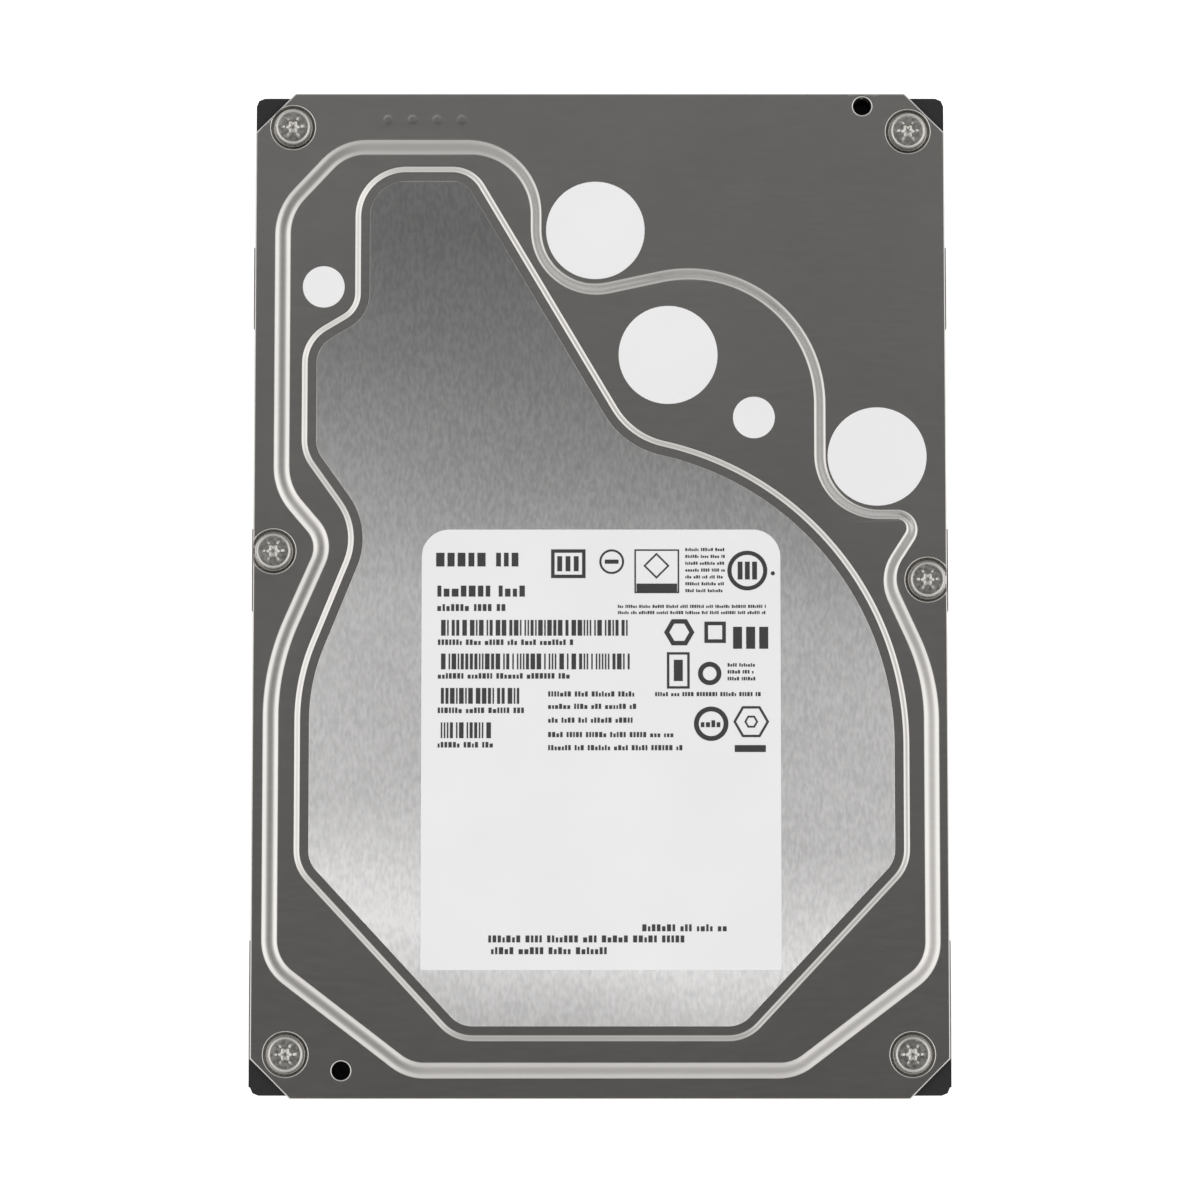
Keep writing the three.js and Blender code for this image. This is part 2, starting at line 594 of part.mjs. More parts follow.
const plateZ = pocketTop + SEAT;
const plateInset = POCKET_SLOPE / 2 + PLATE_MARGIN;
const plateOutline = rounded(pocketOutline, plateInset);
place('damping_plate', prism(plateOutline, plateZ, plateZ + PLATE_T), brushed());
const labelZ = plateZ + PLATE_T + SEAT;
const { x0, x1, y0, y1 } = labelBox;
const labelOutline = rounded([
  [x0, y1, LABEL_CORNER_R], [x1, y1, LABEL_CORNER_R], [x1, y0, LABEL_FOOT_R], [x0, y0, LABEL_FOOT_R],
]);
place('main_label', prism(labelOutline, labelZ, labelZ + LABEL_T), paper());
Object.entries(seals).forEach(([name, [x, y, r, top]]) => {
  place(name, disc(x, y, r, top + SEAT, top + SEAT + SEAL_T, ROUND), paper());
});
coverScrews.forEach(([x, y], i) => {
  const seat = landTop - DIMPLE_DEPTH + SEAT;
  const solid = screw(x, y, seat, SCREW_HEAD_R, SCREW_HEAD_H, SCREW_LENGTH);
  place(`cover_screw_${i + 1}`, solid, screwSteel());
});

// ---------------------------------------------------------------- build: circuit board

function boardOutline(inset) {
  const reach = east - SIDE_RAIL - GAP - inset;
  const end = castNorth - END_RAIL - GAP - inset;
  const start = south + BOARD_START + inset;
  return rectangle(-reach, reach, start, end, BOARD_CORNER_R);
}

const boardHoles = (r) => boardScrews.map(([x, y]) => disc(x, y, r, 0, FLOOR_UNDER + PAST));
const boardArc = (grow) => disc(spindle.x, spindle.y, BOARD_ARC_R + grow, 0, FLOOR_UNDER + PAST, ROUND);
const chipBox = ([cx, cy, w, d], grow, z0, z1) => box(
  cx - w / 2 - grow, cx + w / 2 + grow, cy - d / 2 - grow, cy + d / 2 + grow, z0, z1);

place('circuit_board', cut(prism(boardOutline(0), BOARD_UNDER, boardTop), [
  boardArc(0), ...boardHoles(SCREW_R + GAP),
]), laminate());
const foamTop = FLOOR_UNDER - INSULATOR_BELOW_FLOOR;
const connectorBack = north - CONNECTOR_DEPTH - CONNECTOR_BEHIND;
const besideConnector = box(west, CONNECTOR_X + CONNECTOR_HALF + 1, connectorBack - 1.4, north, 0, NOTCH_TOP);
place('board_insulator', cut(prism(boardOutline(INSULATOR_IN), boardTop + SEAT, foamTop), [
  boardArc(INSULATOR_IN), ...boardHoles(INSULATOR_HOLE_R), besideConnector,
  ...Object.values(chips).map((chip) => chipBox(chip, 1, boardTop - PAST, FLOOR_UNDER + PAST)),
]), foam());
Object.entries(chips).forEach(([name, chip]) => {
  place(name, chipBox(chip, 0, boardTop + SEAT, boardTop + SEAT + CHIP_T), epoxy());
});

function connector() {
  const front = castNorth;
  const root = front - CONNECTOR_DEPTH;
  const lap = root - 0.5;
  const left = CONNECTOR_X - CONNECTOR_HALF;
  const right = CONNECTOR_X + CONNECTOR_HALF;
  const seat = boardTop + SEAT;
  const tongueTop = TONGUE_Z + TONGUE_T;
  const tip = front - TONGUE_BACK;
  const power = [left + TONGUE_IN, left + TONGUE_IN + POWER_TONGUE];
  const signal = [right - TONGUE_IN - SIGNAL_TONGUE, right - TONGUE_IN];
  const cheekTop = NOTCH_TOP - TONGUE_IN;
  return join([
    box(left, right, connectorBack, root, seat, NOTCH_TOP - GAP),
    box(left, right, lap, front - 3.6, seat, TONGUE_Z + 0.1),
    box(left, left + CHEEK_T, lap, front, seat, cheekTop),
    box(right - CHEEK_T, right, lap, front, seat, cheekTop),
    box(power[0], power[1], lap, tip, TONGUE_Z, tongueTop),
    box(power[0], power[0] + TONGUE_KEY, lap, tip, TONGUE_Z, tongueTop + TONGUE_KEY),
    box(signal[0], signal[1], lap, tip, TONGUE_Z, tongueTop),
    box(signal[1] - TONGUE_KEY, signal[1], lap, tip, TONGUE_Z, tongueTop + TONGUE_KEY),
  ]);
}
place('sata_connector', connector(), blackPlastic());
boardScrews.forEach(([x, y], i) => {
  const { headR, headH, length } = BOARD_SCREW;
  place(`board_screw_${i + 1}`, screw(x, y, BOARD_UNDER - SEAT, headR, headH, length, -1), screwSteel());
});

// ---------------------------------------------------------------- build: spindle motor and disks

const flangeTop = platterZ[0] - SEAT;
const flangeUnder = FLOOR_TOP + FLANGE_LIFT;
const hubR = PLATTER_BORE - RUN;
const cupR = hubR - HUB_WALL;
const cupTop = stackMid - CUP_BELOW_MID;
const hubTop = stackTop - GAP;
const sleeveTop = cupTop - 0.4;
const sleeveUnder = DISK_SKIN + GAP;
const sleeveFloor = sleeveUnder + SLEEVE_BASE_T;

place('bearing_sleeve', turned([
  [0, sleeveUnder], [SLEEVE_R, sleeveUnder], [SLEEVE_R, sleeveTop],
  [SHAFT_R + RUN, sleeveTop], [SHAFT_R + RUN, sleeveFloor], [0, sleeveFloor],
], spindle.x, spindle.y), nickel());

function stator() {
  const z0 = FLOOR_TOP + STATOR_LIFT;
  const z1 = z0 + STATOR_H;
  const toothTip = cupR - MAGNET_T - STATOR_AIR;
  const parts = [ring(spindle.x, spindle.y, SLEEVE_R + SEAT, SLEEVE_R + 1.1, FLOOR_TOP + SEAT, z1)];
  for (let i = 0; i < STATOR_SLOTS; i += 1) {
    const tooth = box(SLEEVE_R + 0.8, toothTip, -TOOTH_W / 2, TOOTH_W / 2, z0 + 0.6, z1 - 0.6);
    const coil = box(SLEEVE_R + 1.0, toothTip - 0.6, -WINDING_W / 2, WINDING_W / 2, z0, z1);
    const pole = tooth.add(coil).rotate([0, 0, (i * 360) / STATOR_SLOTS]);
    parts.push(pole.translate([spindle.x, spindle.y, 0]));
  }
  return join(parts);
}
place('spindle_stator', stator(), copper());

const shaftSpan = [sleeveFloor + 0.2, hubTop - 0.6];
place('spindle_shaft', disc(spindle.x, spindle.y, SHAFT_R, ...shaftSpan, ROUND), nickel());
place('spindle_hub', turned([
  [SHAFT_R + SEAT, cupTop], [cupR, cupTop], [cupR, flangeUnder], [HUB_FLANGE_R, flangeUnder],
  [HUB_FLANGE_R, flangeTop], [hubR, flangeTop], [hubR, hubTop],
  [SHAFT_R + SEAT, hubTop], [SHAFT_R + SEAT, cupTop],
], spindle.x, spindle.y), aluminium());
const magnetSpan = [flangeUnder, cupTop - 1.4];
place('rotor_magnet', ring(spindle.x, spindle.y, cupR - MAGNET_T, cupR - SEAT, ...magnetSpan), nickel());
platterZ.forEach((z, i) => {
  const disk = ring(spindle.x, spindle.y, PLATTER_BORE, PLATTER_R, z, z + PLATTER_T, FINE);
  place(`platter_${i + 1}`, disk, mirror());
});
platterZ.slice(1).forEach((z, i) => {
  const below = platterZ[i] + PLATTER_T + SEAT;
  place(`platter_spacer_${i + 1}`, ring(spindle.x, spindle.y, PLATTER_BORE, HUB_FLANGE_R, below, z - SEAT),
    aluminium());
});

// The clamp bears on the top disk near its rim, clears the hub, and dips in the middle to its screw.
const clampBore = SCREW_R + GAP;
const clampDish = hubTop + 1.2;
const clampCrown = stackTop + 1.7;
place('disk_clamp', turned([
  [clampBore, hubTop + SEAT], [9.5, hubTop + SEAT], [9.5, stackTop + 0.5], [12.9, stackTop + 0.5],
  [12.9, stackTop + SEAT], [CLAMP_R, stackTop + SEAT],
  [CLAMP_R, clampCrown - 0.4], [CLAMP_R - 0.6, clampCrown], [8.5, clampCrown],
  [6.5, clampDish], [clampBore, clampDish], [clampBore, hubTop + SEAT],
], spindle.x, spindle.y), aluminium());
const clampHead = clampDish + SEAT;
const clampScrew = turned([
  [0, hubTop - 0.5], [SCREW_R, hubTop - 0.5], [SCREW_R, clampHead], [CLAMP_SCREW_HEAD_R, clampHead],
  [CLAMP_SCREW_HEAD_R, hubTop + 2.0], [CLAMP_SCREW_HEAD_R - 0.4, hubTop + 2.4], [0, hubTop + 2.4],
], spindle.x, spindle.y, SMALL);
const clampRecess = torxCut(spindle.x, spindle.y, 1.6, hubTop + 1.6, hubTop + 3);
place('clamp_screw', clampScrew.subtract(clampRecess), screwSteel());

// ---------------------------------------------------------------- build: actuator

const armGroup = new THREE.Group();
armGroup.position.set(pivot.x, pivot.y, 0);
armGroup.rotation.z = deg(ARM_PARK_DEG);
drive.add(armGroup);

// In the actuator's own frame the arms point along +X from the pivot, and the coil along -X.
const coilSector = (rIn, rOut, spreadDeg, steps) => (
  sector(0, 0, rIn, rOut, 180 - COIL_HALF_DEG - spreadDeg, 180 + COIL_HALF_DEG + spreadDeg, steps));

function armBlock() {
  const barrel = ring(0, 0, PIVOT_R + RUN, BARREL_R, barrelBottom, barrelTop);
  const outline = [
    [-2, ARM_HALF_AT_PIVOT, 1], [ARM_TIP_R, ARM_HALF_AT_TIP, 1.2],
    [ARM_TIP_R, -ARM_HALF_AT_TIP, 1.2], [-2, -ARM_HALF_AT_PIVOT, 1],
  ];
  const { from, to, halfIn, halfOut } = ARM_WINDOW;
  const window = [[from, halfIn, 1], [to, halfOut, 1], [to, -halfOut, 1], [from, -halfIn, 1]];
  const arms = armMidZ.map((z) => {
    const arm = prism(rounded(outline), z - ARM_T / 2, z + ARM_T / 2);
    return arm.subtract(prism(rounded(window), z - ARM_T, z + ARM_T));
  });
  const z0 = stackMid - COIL_T / 2 - 0.1;
  const z1 = stackMid + COIL_T / 2 + 0.1;
  const fork = prism(coilSector(BARREL_R - 1, COIL_OUT + 1.2, 3), z0, z1);
  const seat = prism(coilSector(COIL_IN - SEAT, COIL_OUT + 2, 0.1), z0 - PAST, z1 + PAST);
  const bore = disc(0, 0, PIVOT_R + RUN, 0, HEIGHT, ROUND);
  return cut(join([barrel, ...arms, fork.subtract(seat)]), [bore]);
}
place('arm_block', armBlock(), aluminium(), armGroup);

const coilRim = coilSector(COIL_IN + GAP, COIL_OUT, -1);
const coilHole = coilSector(COIL_IN + 4, COIL_OUT - 3.5, -8, 6).reverse();
const coil = prism(coilRim, stackMid - COIL_T / 2, stackMid + COIL_T / 2, [coilHole]);
place('voice_coil', coil, copper(), armGroup);

function suspension(armFace, diskFace) {
  const up = Math.sign(diskFace - armFace);
  const span = (a, b) => [armFace + up * a, armFace + up * b].sort((p, q) => p - q);
  const root = ARM_TIP_R - SUSPENSION_LAP;
  const tab = ARM_REACH + 1.6;
  const half = [[root, 2.8, 0.6], [ARM_TIP_R, 2.8, 0.6], [ARM_REACH, 0.9, 0.4], [tab, 0.35, 0.15]];
  const mirrored = half.map(([x, y, r]) => [x, -y, r]).reverse();
  const plate = prism(rounded([...half, ...mirrored]), ...span(SEAT, SEAT + SUSPENSION_T));
  const reach = Math.abs(diskFace - armFace) - HEAD.fly;
  const headZ = span(SEAT + SUSPENSION_T / 2, reach);
  return plate.add(box(ARM_REACH - HEAD.length, ARM_REACH, -HEAD.half, HEAD.half, ...headZ));
}
platterZ.forEach((z, i) => {
  const below = suspension(armMidZ[i] + ARM_T / 2, z);
  const above = suspension(armMidZ[i + 1] - ARM_T / 2, z + PLATTER_T);
  place(`head_suspension_${2 * i + 1}`, below, screwSteel(), armGroup);
  place(`head_suspension_${2 * i + 2}`, above, screwSteel(), armGroup);
});

const pivotBore = SCREW_R + GAP;
const pivotFlangeR = PIVOT_R + 1.2;
const pivotTop = barrelTop + GAP;
place('pivot_bearing', turned([
  [pivotBore, FLOOR_TOP + SEAT], [pivotFlangeR, FLOOR_TOP + SEAT], [pivotFlangeR, barrelBottom - GAP],
  [PIVOT_R, barrelBottom - GAP], [PIVOT_R, pivotTop], [pivotBore, pivotTop], [pivotBore, FLOOR_TOP + SEAT],
], pivot.x, pivot.y), nickel());
const pivotScrewLength = barrelTop - FLOOR_TOP + PIVOT_SCREW.grip;
place('pivot_screw', screw(pivot.x, pivot.y, pivotTop + SEAT, PIVOT_SCREW.headR, PIVOT_SCREW.headH,
  pivotScrewLength), screwSteel());

// ---------------------------------------------------------------- build: voice coil motor

const fan = (rIn, rOut, inDeg, steps) => (
  sector(pivot.x, pivot.y, rIn, rOut, YOKE_FROM_DEG + inDeg, YOKE_TO_DEG - inDeg, steps));
const yokeFan = () => fan(YOKE_IN, YOKE_OUT, 0, 14);
const magnetFan = () => fan(YOKE_IN + 1, COIL_OUT + 0.5, 4, 12);
const lowerMagnetZ = yokeZ + YOKE_T + SEAT;
const lowerMagnetTop = lowerMagnetZ + MAGNET_PLATE_T - SEAT;
const upperMagnetZ = stackMid + COIL_T / 2 + MAGNET_AIR;
const upperYokeZ = upperMagnetZ + MAGNET_PLATE_T;
const post = ([x, y]) => disc(x, y, YOKE_POST_R, yokeZ + YOKE_T - 0.5, upperYokeZ - SEAT);
const lowerYoke = join([prism(yokeFan(), yokeZ, yokeZ + YOKE_T), ...yokePosts.map(post)]);
place('vcm_bottom_yoke', lowerYoke, nickel());
place('vcm_bottom_magnet', prism(magnetFan(), lowerMagnetZ, lowerMagnetTop), screwSteel());
place('vcm_top_magnet', prism(magnetFan(), upperMagnetZ, upperYokeZ - SEAT), screwSteel());
place('vcm_top_yoke', prism(yokeFan(), upperYokeZ, upperYokeZ + YOKE_T), nickel());

const [bumperX, bumperY] = polar(STOP_FROM_PIVOT, YOKE_TO_DEG + STOP_PAST_YOKE_DEG);
const stopTop = stackMid + COIL_T / 2 + 1;
place('crash_stop', disc(bumperX, bumperY, STOP_R, FLOOR_TOP + SEAT, stopTop), rubber());

// The latch turns on a pin of the casting, beside the parked coil's cradle.
const latchZ = [stackMid - COIL_T / 2, stackMid + COIL_T / 2];
const latchLever = [
  [-3.4, 8.0, 0.5], [-1.2, 8.0, 0.5], [1.8, 1, 0.8], [2.2, -7, 1.2], [-1.6, -7, 1.2], [-1.8, 1, 0.8],
].map(([x, y, r]) => [latch.x + x, latch.y + y, r]);
const latchBody = prism(rounded(latchLever), ...latchZ).add(disc(latch.x, latch.y, LATCH_BOSS_R, ...latchZ));
const latchBore = disc(latch.x, latch.y, LATCH_PIN_R + RUN, 0, HEIGHT);
place('actuator_latch', latchBody.subtract(latchBore), blackPlastic());

// ---------------------------------------------------------------- build: ramp, flex and filters

const rampGroup = new THREE.Group();
rampGroup.position.set(pivot.x, pivot.y, 0);
rampGroup.rotation.z = deg(ARM_PARK_DEG);
drive.add(rampGroup);
function loadRamp() {
  const face = ARM_REACH + 2.0;
  const body = box(face, face + RAMP_T, -5.5, 2.0, FLOOR_TOP + SEAT, barrelTop);
  const shelves = platterZ.map((z) => box(face - RAMP_SHELF, face + 0.5, -4.5, 1.6, z + 0.2, z + 1.0));
  return join([body, ...shelves]);
}
place('load_ramp', loadRamp(), whitePlastic(), rampGroup);

const bracketX = [pivot.x + BRACKET.x - BRACKET.halfX, pivot.x + BRACKET.x + BRACKET.halfX];
const bracketY = [pivot.y + BRACKET.y - BRACKET.halfY, pivot.y + BRACKET.y + BRACKET.halfY];
place('flex_bracket', box(...bracketX, ...bracketY, FLOOR_TOP + SEAT, stackMid + 2), blackPlastic());

// The flex circuit stands on edge and runs in one loop from its bracket to the side of the arm block.
function flexStrip() {
  const from = new THREE.Vector3(bracketX[1] + GAP, pivot.y + BRACKET.y - 1, 0);
  const [endX, endY] = polar(BARREL_R + 1.0, 140);
  const path = new THREE.CubicBezierCurve3(
    from,
    new THREE.Vector3(from.x + 14, from.y + 3, 0),
    new THREE.Vector3(endX - 12, endY + 15, 0),
    new THREE.Vector3(endX, endY, 0),
  );
  const steps = 18;
  const left = [];
  const right = [];
  for (let i = 0; i <= steps; i += 1) {
    const at = path.getPoint(i / steps);
    const way = path.getTangent(i / steps).multiplyScalar(FLEX_T / 2);
    left.push(new THREE.Vector2(at.x - way.y, at.y + way.x));
    right.push(new THREE.Vector2(at.x + way.y, at.y - way.x));
  }
  return prism([...left, ...right.reverse()], stackMid - FLEX_HALF_H, stackMid + FLEX_HALF_H);
}
place('flex_circuit', flexStrip(), polyimide());

const filterX = [west + 7, west + 7 + FILTER_T];
place('recirculation_filter', box(...filterX, pivot.y - 14, pivot.y - 1, FLOOR_TOP + SEAT, stackTop), felt());
const [breatherX, breatherY] = seals.seal_small_1;
const breatherTop = raisedTop - COVER_T - SEAT;
const breatherUnder = raisedTop - COVER_T - BREATHER_H;
place('breather_filter', disc(breatherX, breatherY, BREATHER_R, breatherUnder, breatherTop), felt());

export default drive;
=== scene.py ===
"""A 3.5-inch hard disk drive: surfaces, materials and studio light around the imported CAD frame. Metres."""
import json
import math
import random

import bmesh
import bpy
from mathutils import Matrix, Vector
from mathutils.geometry import delaunay_2d_cdt, tessellate_polygon

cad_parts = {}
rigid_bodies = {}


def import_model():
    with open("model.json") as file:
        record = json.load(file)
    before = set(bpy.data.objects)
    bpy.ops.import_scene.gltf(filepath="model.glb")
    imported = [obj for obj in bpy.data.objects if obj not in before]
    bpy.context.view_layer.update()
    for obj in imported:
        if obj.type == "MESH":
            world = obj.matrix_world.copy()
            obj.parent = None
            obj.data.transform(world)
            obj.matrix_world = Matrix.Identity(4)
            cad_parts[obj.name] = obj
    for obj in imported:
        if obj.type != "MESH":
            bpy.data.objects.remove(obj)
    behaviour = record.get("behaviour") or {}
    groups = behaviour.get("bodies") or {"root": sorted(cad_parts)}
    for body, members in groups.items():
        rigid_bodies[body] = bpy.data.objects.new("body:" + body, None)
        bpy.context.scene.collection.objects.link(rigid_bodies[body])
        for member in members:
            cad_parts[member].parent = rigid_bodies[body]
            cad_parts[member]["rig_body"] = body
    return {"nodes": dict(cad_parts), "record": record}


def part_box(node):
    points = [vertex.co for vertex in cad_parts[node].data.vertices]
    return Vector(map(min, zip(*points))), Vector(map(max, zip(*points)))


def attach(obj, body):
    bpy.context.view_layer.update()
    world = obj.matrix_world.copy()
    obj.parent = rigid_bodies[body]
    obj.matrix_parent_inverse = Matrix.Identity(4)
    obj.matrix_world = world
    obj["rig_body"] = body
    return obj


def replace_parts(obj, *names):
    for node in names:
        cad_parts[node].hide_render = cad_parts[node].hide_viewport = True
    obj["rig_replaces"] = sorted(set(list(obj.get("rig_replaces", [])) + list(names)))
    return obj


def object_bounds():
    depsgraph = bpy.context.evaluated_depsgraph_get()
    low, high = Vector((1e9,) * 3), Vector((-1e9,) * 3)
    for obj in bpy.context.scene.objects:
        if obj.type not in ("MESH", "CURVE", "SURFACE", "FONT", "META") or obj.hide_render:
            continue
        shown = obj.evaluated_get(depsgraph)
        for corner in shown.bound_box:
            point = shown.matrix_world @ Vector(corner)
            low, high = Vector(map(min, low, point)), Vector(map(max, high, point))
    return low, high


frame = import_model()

MM = 0.001
cad_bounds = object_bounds()
record = frame["record"]
slot_of = {part["node"]: part["material_slot"] for part in record["subparts"]}
body_of = {name: node["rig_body"] for name, node in frame["nodes"].items()}


# ---------------------------------------------------------------- shapes read from the CAD nodes

def welded(node):
    """The node's mesh as a new bmesh with its split corners joined. The node itself isn't changed."""
    bm = bmesh.new()
    bm.from_mesh(frame["nodes"][node].data)
    bmesh.ops.remove_doubles(bm, verts=bm.verts, dist=1e-3 * MM)
    return bm


def flat_loops(node, side=1):
    """{height: closed loops} round the node's level faces that face up (side 1) or down (-1).
    The material is on the left of each loop seen from above, so holes run clockwise."""
    bm = welded(node)
    levels = {}
    for face in bm.faces:
        if face.normal.z * side > 0.9999:
            levels.setdefault(round(face.calc_center_median().z / MM, 2), []).append(face)
    found = {}
    for height, faces in levels.items():
        level = set(faces)
        follows = {}
        for face in faces:
            for loop in face.loops:
                if not any(other in level for other in loop.edge.link_faces if other is not face):
                    start, end = loop.vert, loop.link_loop_next.vert
                    if side < 0:
                        start, end = end, start
                    follows[start.index] = (start, end)
        loops = []
        while follows:
            first, (start, end) = follows.popitem()
            points = [start.co.xy.copy()]
            while end.index != first:
                points.append(end.co.xy.copy())
                end = follows.pop(end.index)[1]
            loops.append(points)
        found[height * MM] = sorted(loops, key=lambda points: -span(points))
    bm.free()
    return found


def span(points):
    """The loop's width."""
    return max(p.x for p in points) - min(p.x for p in points)


def turning(points):
    """Positive for a loop that runs anticlockwise."""
    return sum(points[i - 1].cross(point) for i, point in enumerate(points))


def within(point, points):
    """Whether the point is inside the loop."""
    odd = False
    for i, b in enumerate(points):
        a = points[i - 1]
        if (a.y > point.y) != (b.y > point.y) and point.x < a.x + (b.x - a.x) * (point.y - a.y) / (b.y - a.y):
            odd = not odd
    return odd


def middle(points):
    return Vector((sum(p.x for p in points), sum(p.y for p in points))) / len(points)


def circle_through(a, b, c):
    d = 2 * (a.x * (b.y - c.y) + b.x * (c.y - a.y) + c.x * (a.y - b.y))
    aa, bb, cc = a.length_squared, b.length_squared, c.length_squared
    x = (aa * (b.y - c.y) + bb * (c.y - a.y) + cc * (a.y - b.y)) / d
    y = (aa * (c.x - b.x) + bb * (a.x - c.x) + cc * (b.x - a.x)) / d
    return Vector((x, y))


def corners_of(points):
    """A loop's corners in order: a plain point, or a rounded corner as (centre, start point, sweep)."""
    count = len(points)
    edges = [points[(i + 1) % count] - points[i] for i in range(count)]
    turns = [math.atan2(edges[i - 1].cross(edges[i]), edges[i - 1].dot(edges[i])) for i in range(count)]
    inside = []
    for i in range(count):
        alike = abs(edges[i - 1].length - edges[i].length) < 0.02 * edges[i].length + 2e-3 * MM
        inside.append(alike and 0.004 < abs(turns[i]) < 0.9)
    if all(inside):
        centre = middle(points)
        return [(centre, points[0], math.copysign(2 * math.pi, turns[0]))]
    starts = [i for i in range(count) if inside[(i + 1) % count] and not inside[i]]
    if not starts:
        return list(points)
    found = []
    i = starts[0]
    while i < starts[0] + count:
        bend = turns[(i + 1) % count]
        if not inside[(i + 1) % count]:
            found.append(points[i % count])
            i += 1
            continue
        last = i + 1
        while inside[(last + 1) % count] and turns[(last + 1) % count] * bend > 0:
            last += 1
        run = [points[k % count] for k in range(i, last + 2)]
        centre = circle_through(run[0], run[len(run) // 2], run[-1])
        a, b = run[0] - centre, run[-1] - centre
        sweep = math.atan2(a.cross(b), a.dot(b))
        if sweep * bend < 0:
            sweep += math.copysign(2 * math.pi, bend)
        found.append((centre, run[0], sweep))
        i = last + 1
        if not inside[(i + 1) % count]:
            i += 1
    return found


def fine_counts(corners, longest=1.0 * MM, turn=math.radians(6)):
    """How many steps each rounded corner needs."""
    counts = []
    for corner in corners:
        if isinstance(corner, Vector):
            counts.append(0)
        else:
            centre, start, sweep = corner
            radius = (start - centre).length
            counts.append(max(3, math.ceil(abs(sweep) / turn), math.ceil(abs(sweep) * radius / longest)))
    return counts


def resampled(corners, counts):
    points = []
    for corner, count in zip(corners, counts):
        if isinstance(corner, Vector):
            points.append(corner)
            continue
        centre, start, sweep = corner
        full = abs(abs(sweep) - 2 * math.pi) < 1e-6
        arm = start - centre
        for k in range(count if full else count + 1):
            a = sweep * k / count
            points.append(centre + Vector((arm.x * math.cos(a) - arm.y * math.sin(a),
                                           arm.x * math.sin(a) + arm.y * math.cos(a))))
    return points


def fine(points):
    corners = corners_of(points)
    return resampled(corners, fine_counts(corners))


def fine_pair(outer, inner):
    """Two loops with matching rounded corners, resampled so that their points pair up."""
    if turning(outer) * turning(inner) < 0:
        inner = inner[::-1]
    a, b = corners_of(outer), corners_of(inner)
    arcs = [c for c in a if not isinstance(c, Vector)], [c for c in b if not isinstance(c, Vector)]
    if len(arcs[0]) != len(arcs[1]):
        raise ValueError(f"{len(arcs[0])} and {len(arcs[1])} rounded corners don't pair")
    near = min(range(len(arcs[1])), key=lambda i: (arcs[1][i][0] - arcs[0][0][0]).length)
    paired = arcs[1][near:] + arcs[1][:near]
    counts = [max(pair) for pair in zip(fine_counts(arcs[0]), fine_counts(paired))]
    return resampled(arcs[0], counts), resampled(paired, counts)


def inset(points, distance):
    """The loop moved towards its left by distance."""
    count = len(points)
    moved = []
    for i, point in enumerate(points):
        before = (point - points[i - 1]).normalized()
        after = (points[(i + 1) % count] - point).normalized()
        way = Vector((-(before.y + after.y), before.x + after.x))
        if way.length < 1e-9:
            way = Vector((-before.y, before.x))
        way.normalize()
        lean = max(0.35, way.dot(Vector((-before.y, before.x))))
        moved.append(point + way * (distance / lean))
    return moved


def ring_points(centre, radius, count=96, clockwise=False):
    sign = -1 if clockwise else 1
    return [centre + Vector((math.cos(sign * 2 * math.pi * k / count),
                             math.sin(sign * 2 * math.pi * k / count))) * radius for k in range(count)]


def section(node, centre):
    """The node's profile on one side of a vertical axis: [(points, closed)], each point (radius, height)."""
    bm = welded(node)
    widest = max(bm.verts, key=lambda v: (v.co.xy - centre).length)
    arm = widest.co.xy - centre
    angle = math.atan2(arm.y, arm.x) + 1e-4
    out = Vector((math.cos(angle), math.sin(angle), 0))
    across = Vector((-out.y, out.x, 0))
    at = centre.to_3d()
    whole = bm.verts[:] + bm.edges[:] + bm.faces[:]
    bmesh.ops.bisect_plane(bm, geom=whole, plane_co=at, plane_no=out, clear_inner=True)
    whole = bm.verts[:] + bm.edges[:] + bm.faces[:]
    cut = bmesh.ops.bisect_plane(bm, geom=whole, plane_co=at, plane_no=across)["geom_cut"]
    joined = {}
    for edge in cut:
        if isinstance(edge, bmesh.types.BMEdge):
            a, b = edge.verts
            joined.setdefault(a, []).append(b)
            joined.setdefault(b, []).append(a)
    chains = []
    while joined:
        start = min(joined, key=lambda v: (len(joined[v]), v.index))
        chain = [start]
        while joined.get(chain[-1]):
            after = joined[chain[-1]].pop()
            joined[after].remove(chain[-1])
            chain.append(after)
        closed = chain[0] is chain[-1]
        joined = {v: ends for v, ends in joined.items() if ends}
        points = [Vector(((v.co - at).dot(out), v.co.z)) for v in chain[: -1 if closed else None]]
        chains.append((straightened(points, closed), closed))
    bm.free()
    return chains


def straightened(points, closed):
    """The points without those in the middle of a straight stretch."""
    points = [p for i, p in enumerate(points) if (p - points[i - 1]).length > 1e-6 or (i == 0 and not closed)]
    kept = []
    for i, point in enumerate(points):
        if closed or 0 < i < len(points) - 1:
            before = point - points[i - 1]
            after = points[(i + 1) % len(points)] - point
            if before.length < 1e-7:
                continue
            if after.length > 1e-7 and abs(before.normalized().cross(after.normalized())) < 0.01:
                continue
        kept.append(point)
    return kept


def softened(points, radius, closed, steps=4):
    """The line with its corners rounded, each by at most 0.42 of the shorter side next to it."""
    rounded = []
    for i, point in enumerate(points):
        if not closed and i in (0, len(points) - 1):
            rounded.append(point)
            continue
        before, after = points[i - 1] - point, points[(i + 1) % len(points)] - point
        turn = math.pi - before.angle(after)
        if turn < 0.25:
            rounded.append(point)
            continue
        reach = min(radius * math.tan(turn / 2), 0.42 * before.length, 0.42 * after.length)
        a, b = point + before.normalized() * reach, point + after.normalized() * reach
        for k in range(steps + 1):
            t = k / steps
            rounded.append(a * (1 - t) ** 2 + point * (2 * t * (1 - t)) + b * t ** 2)
    return rounded


# ---------------------------------------------------------------- building closed shells

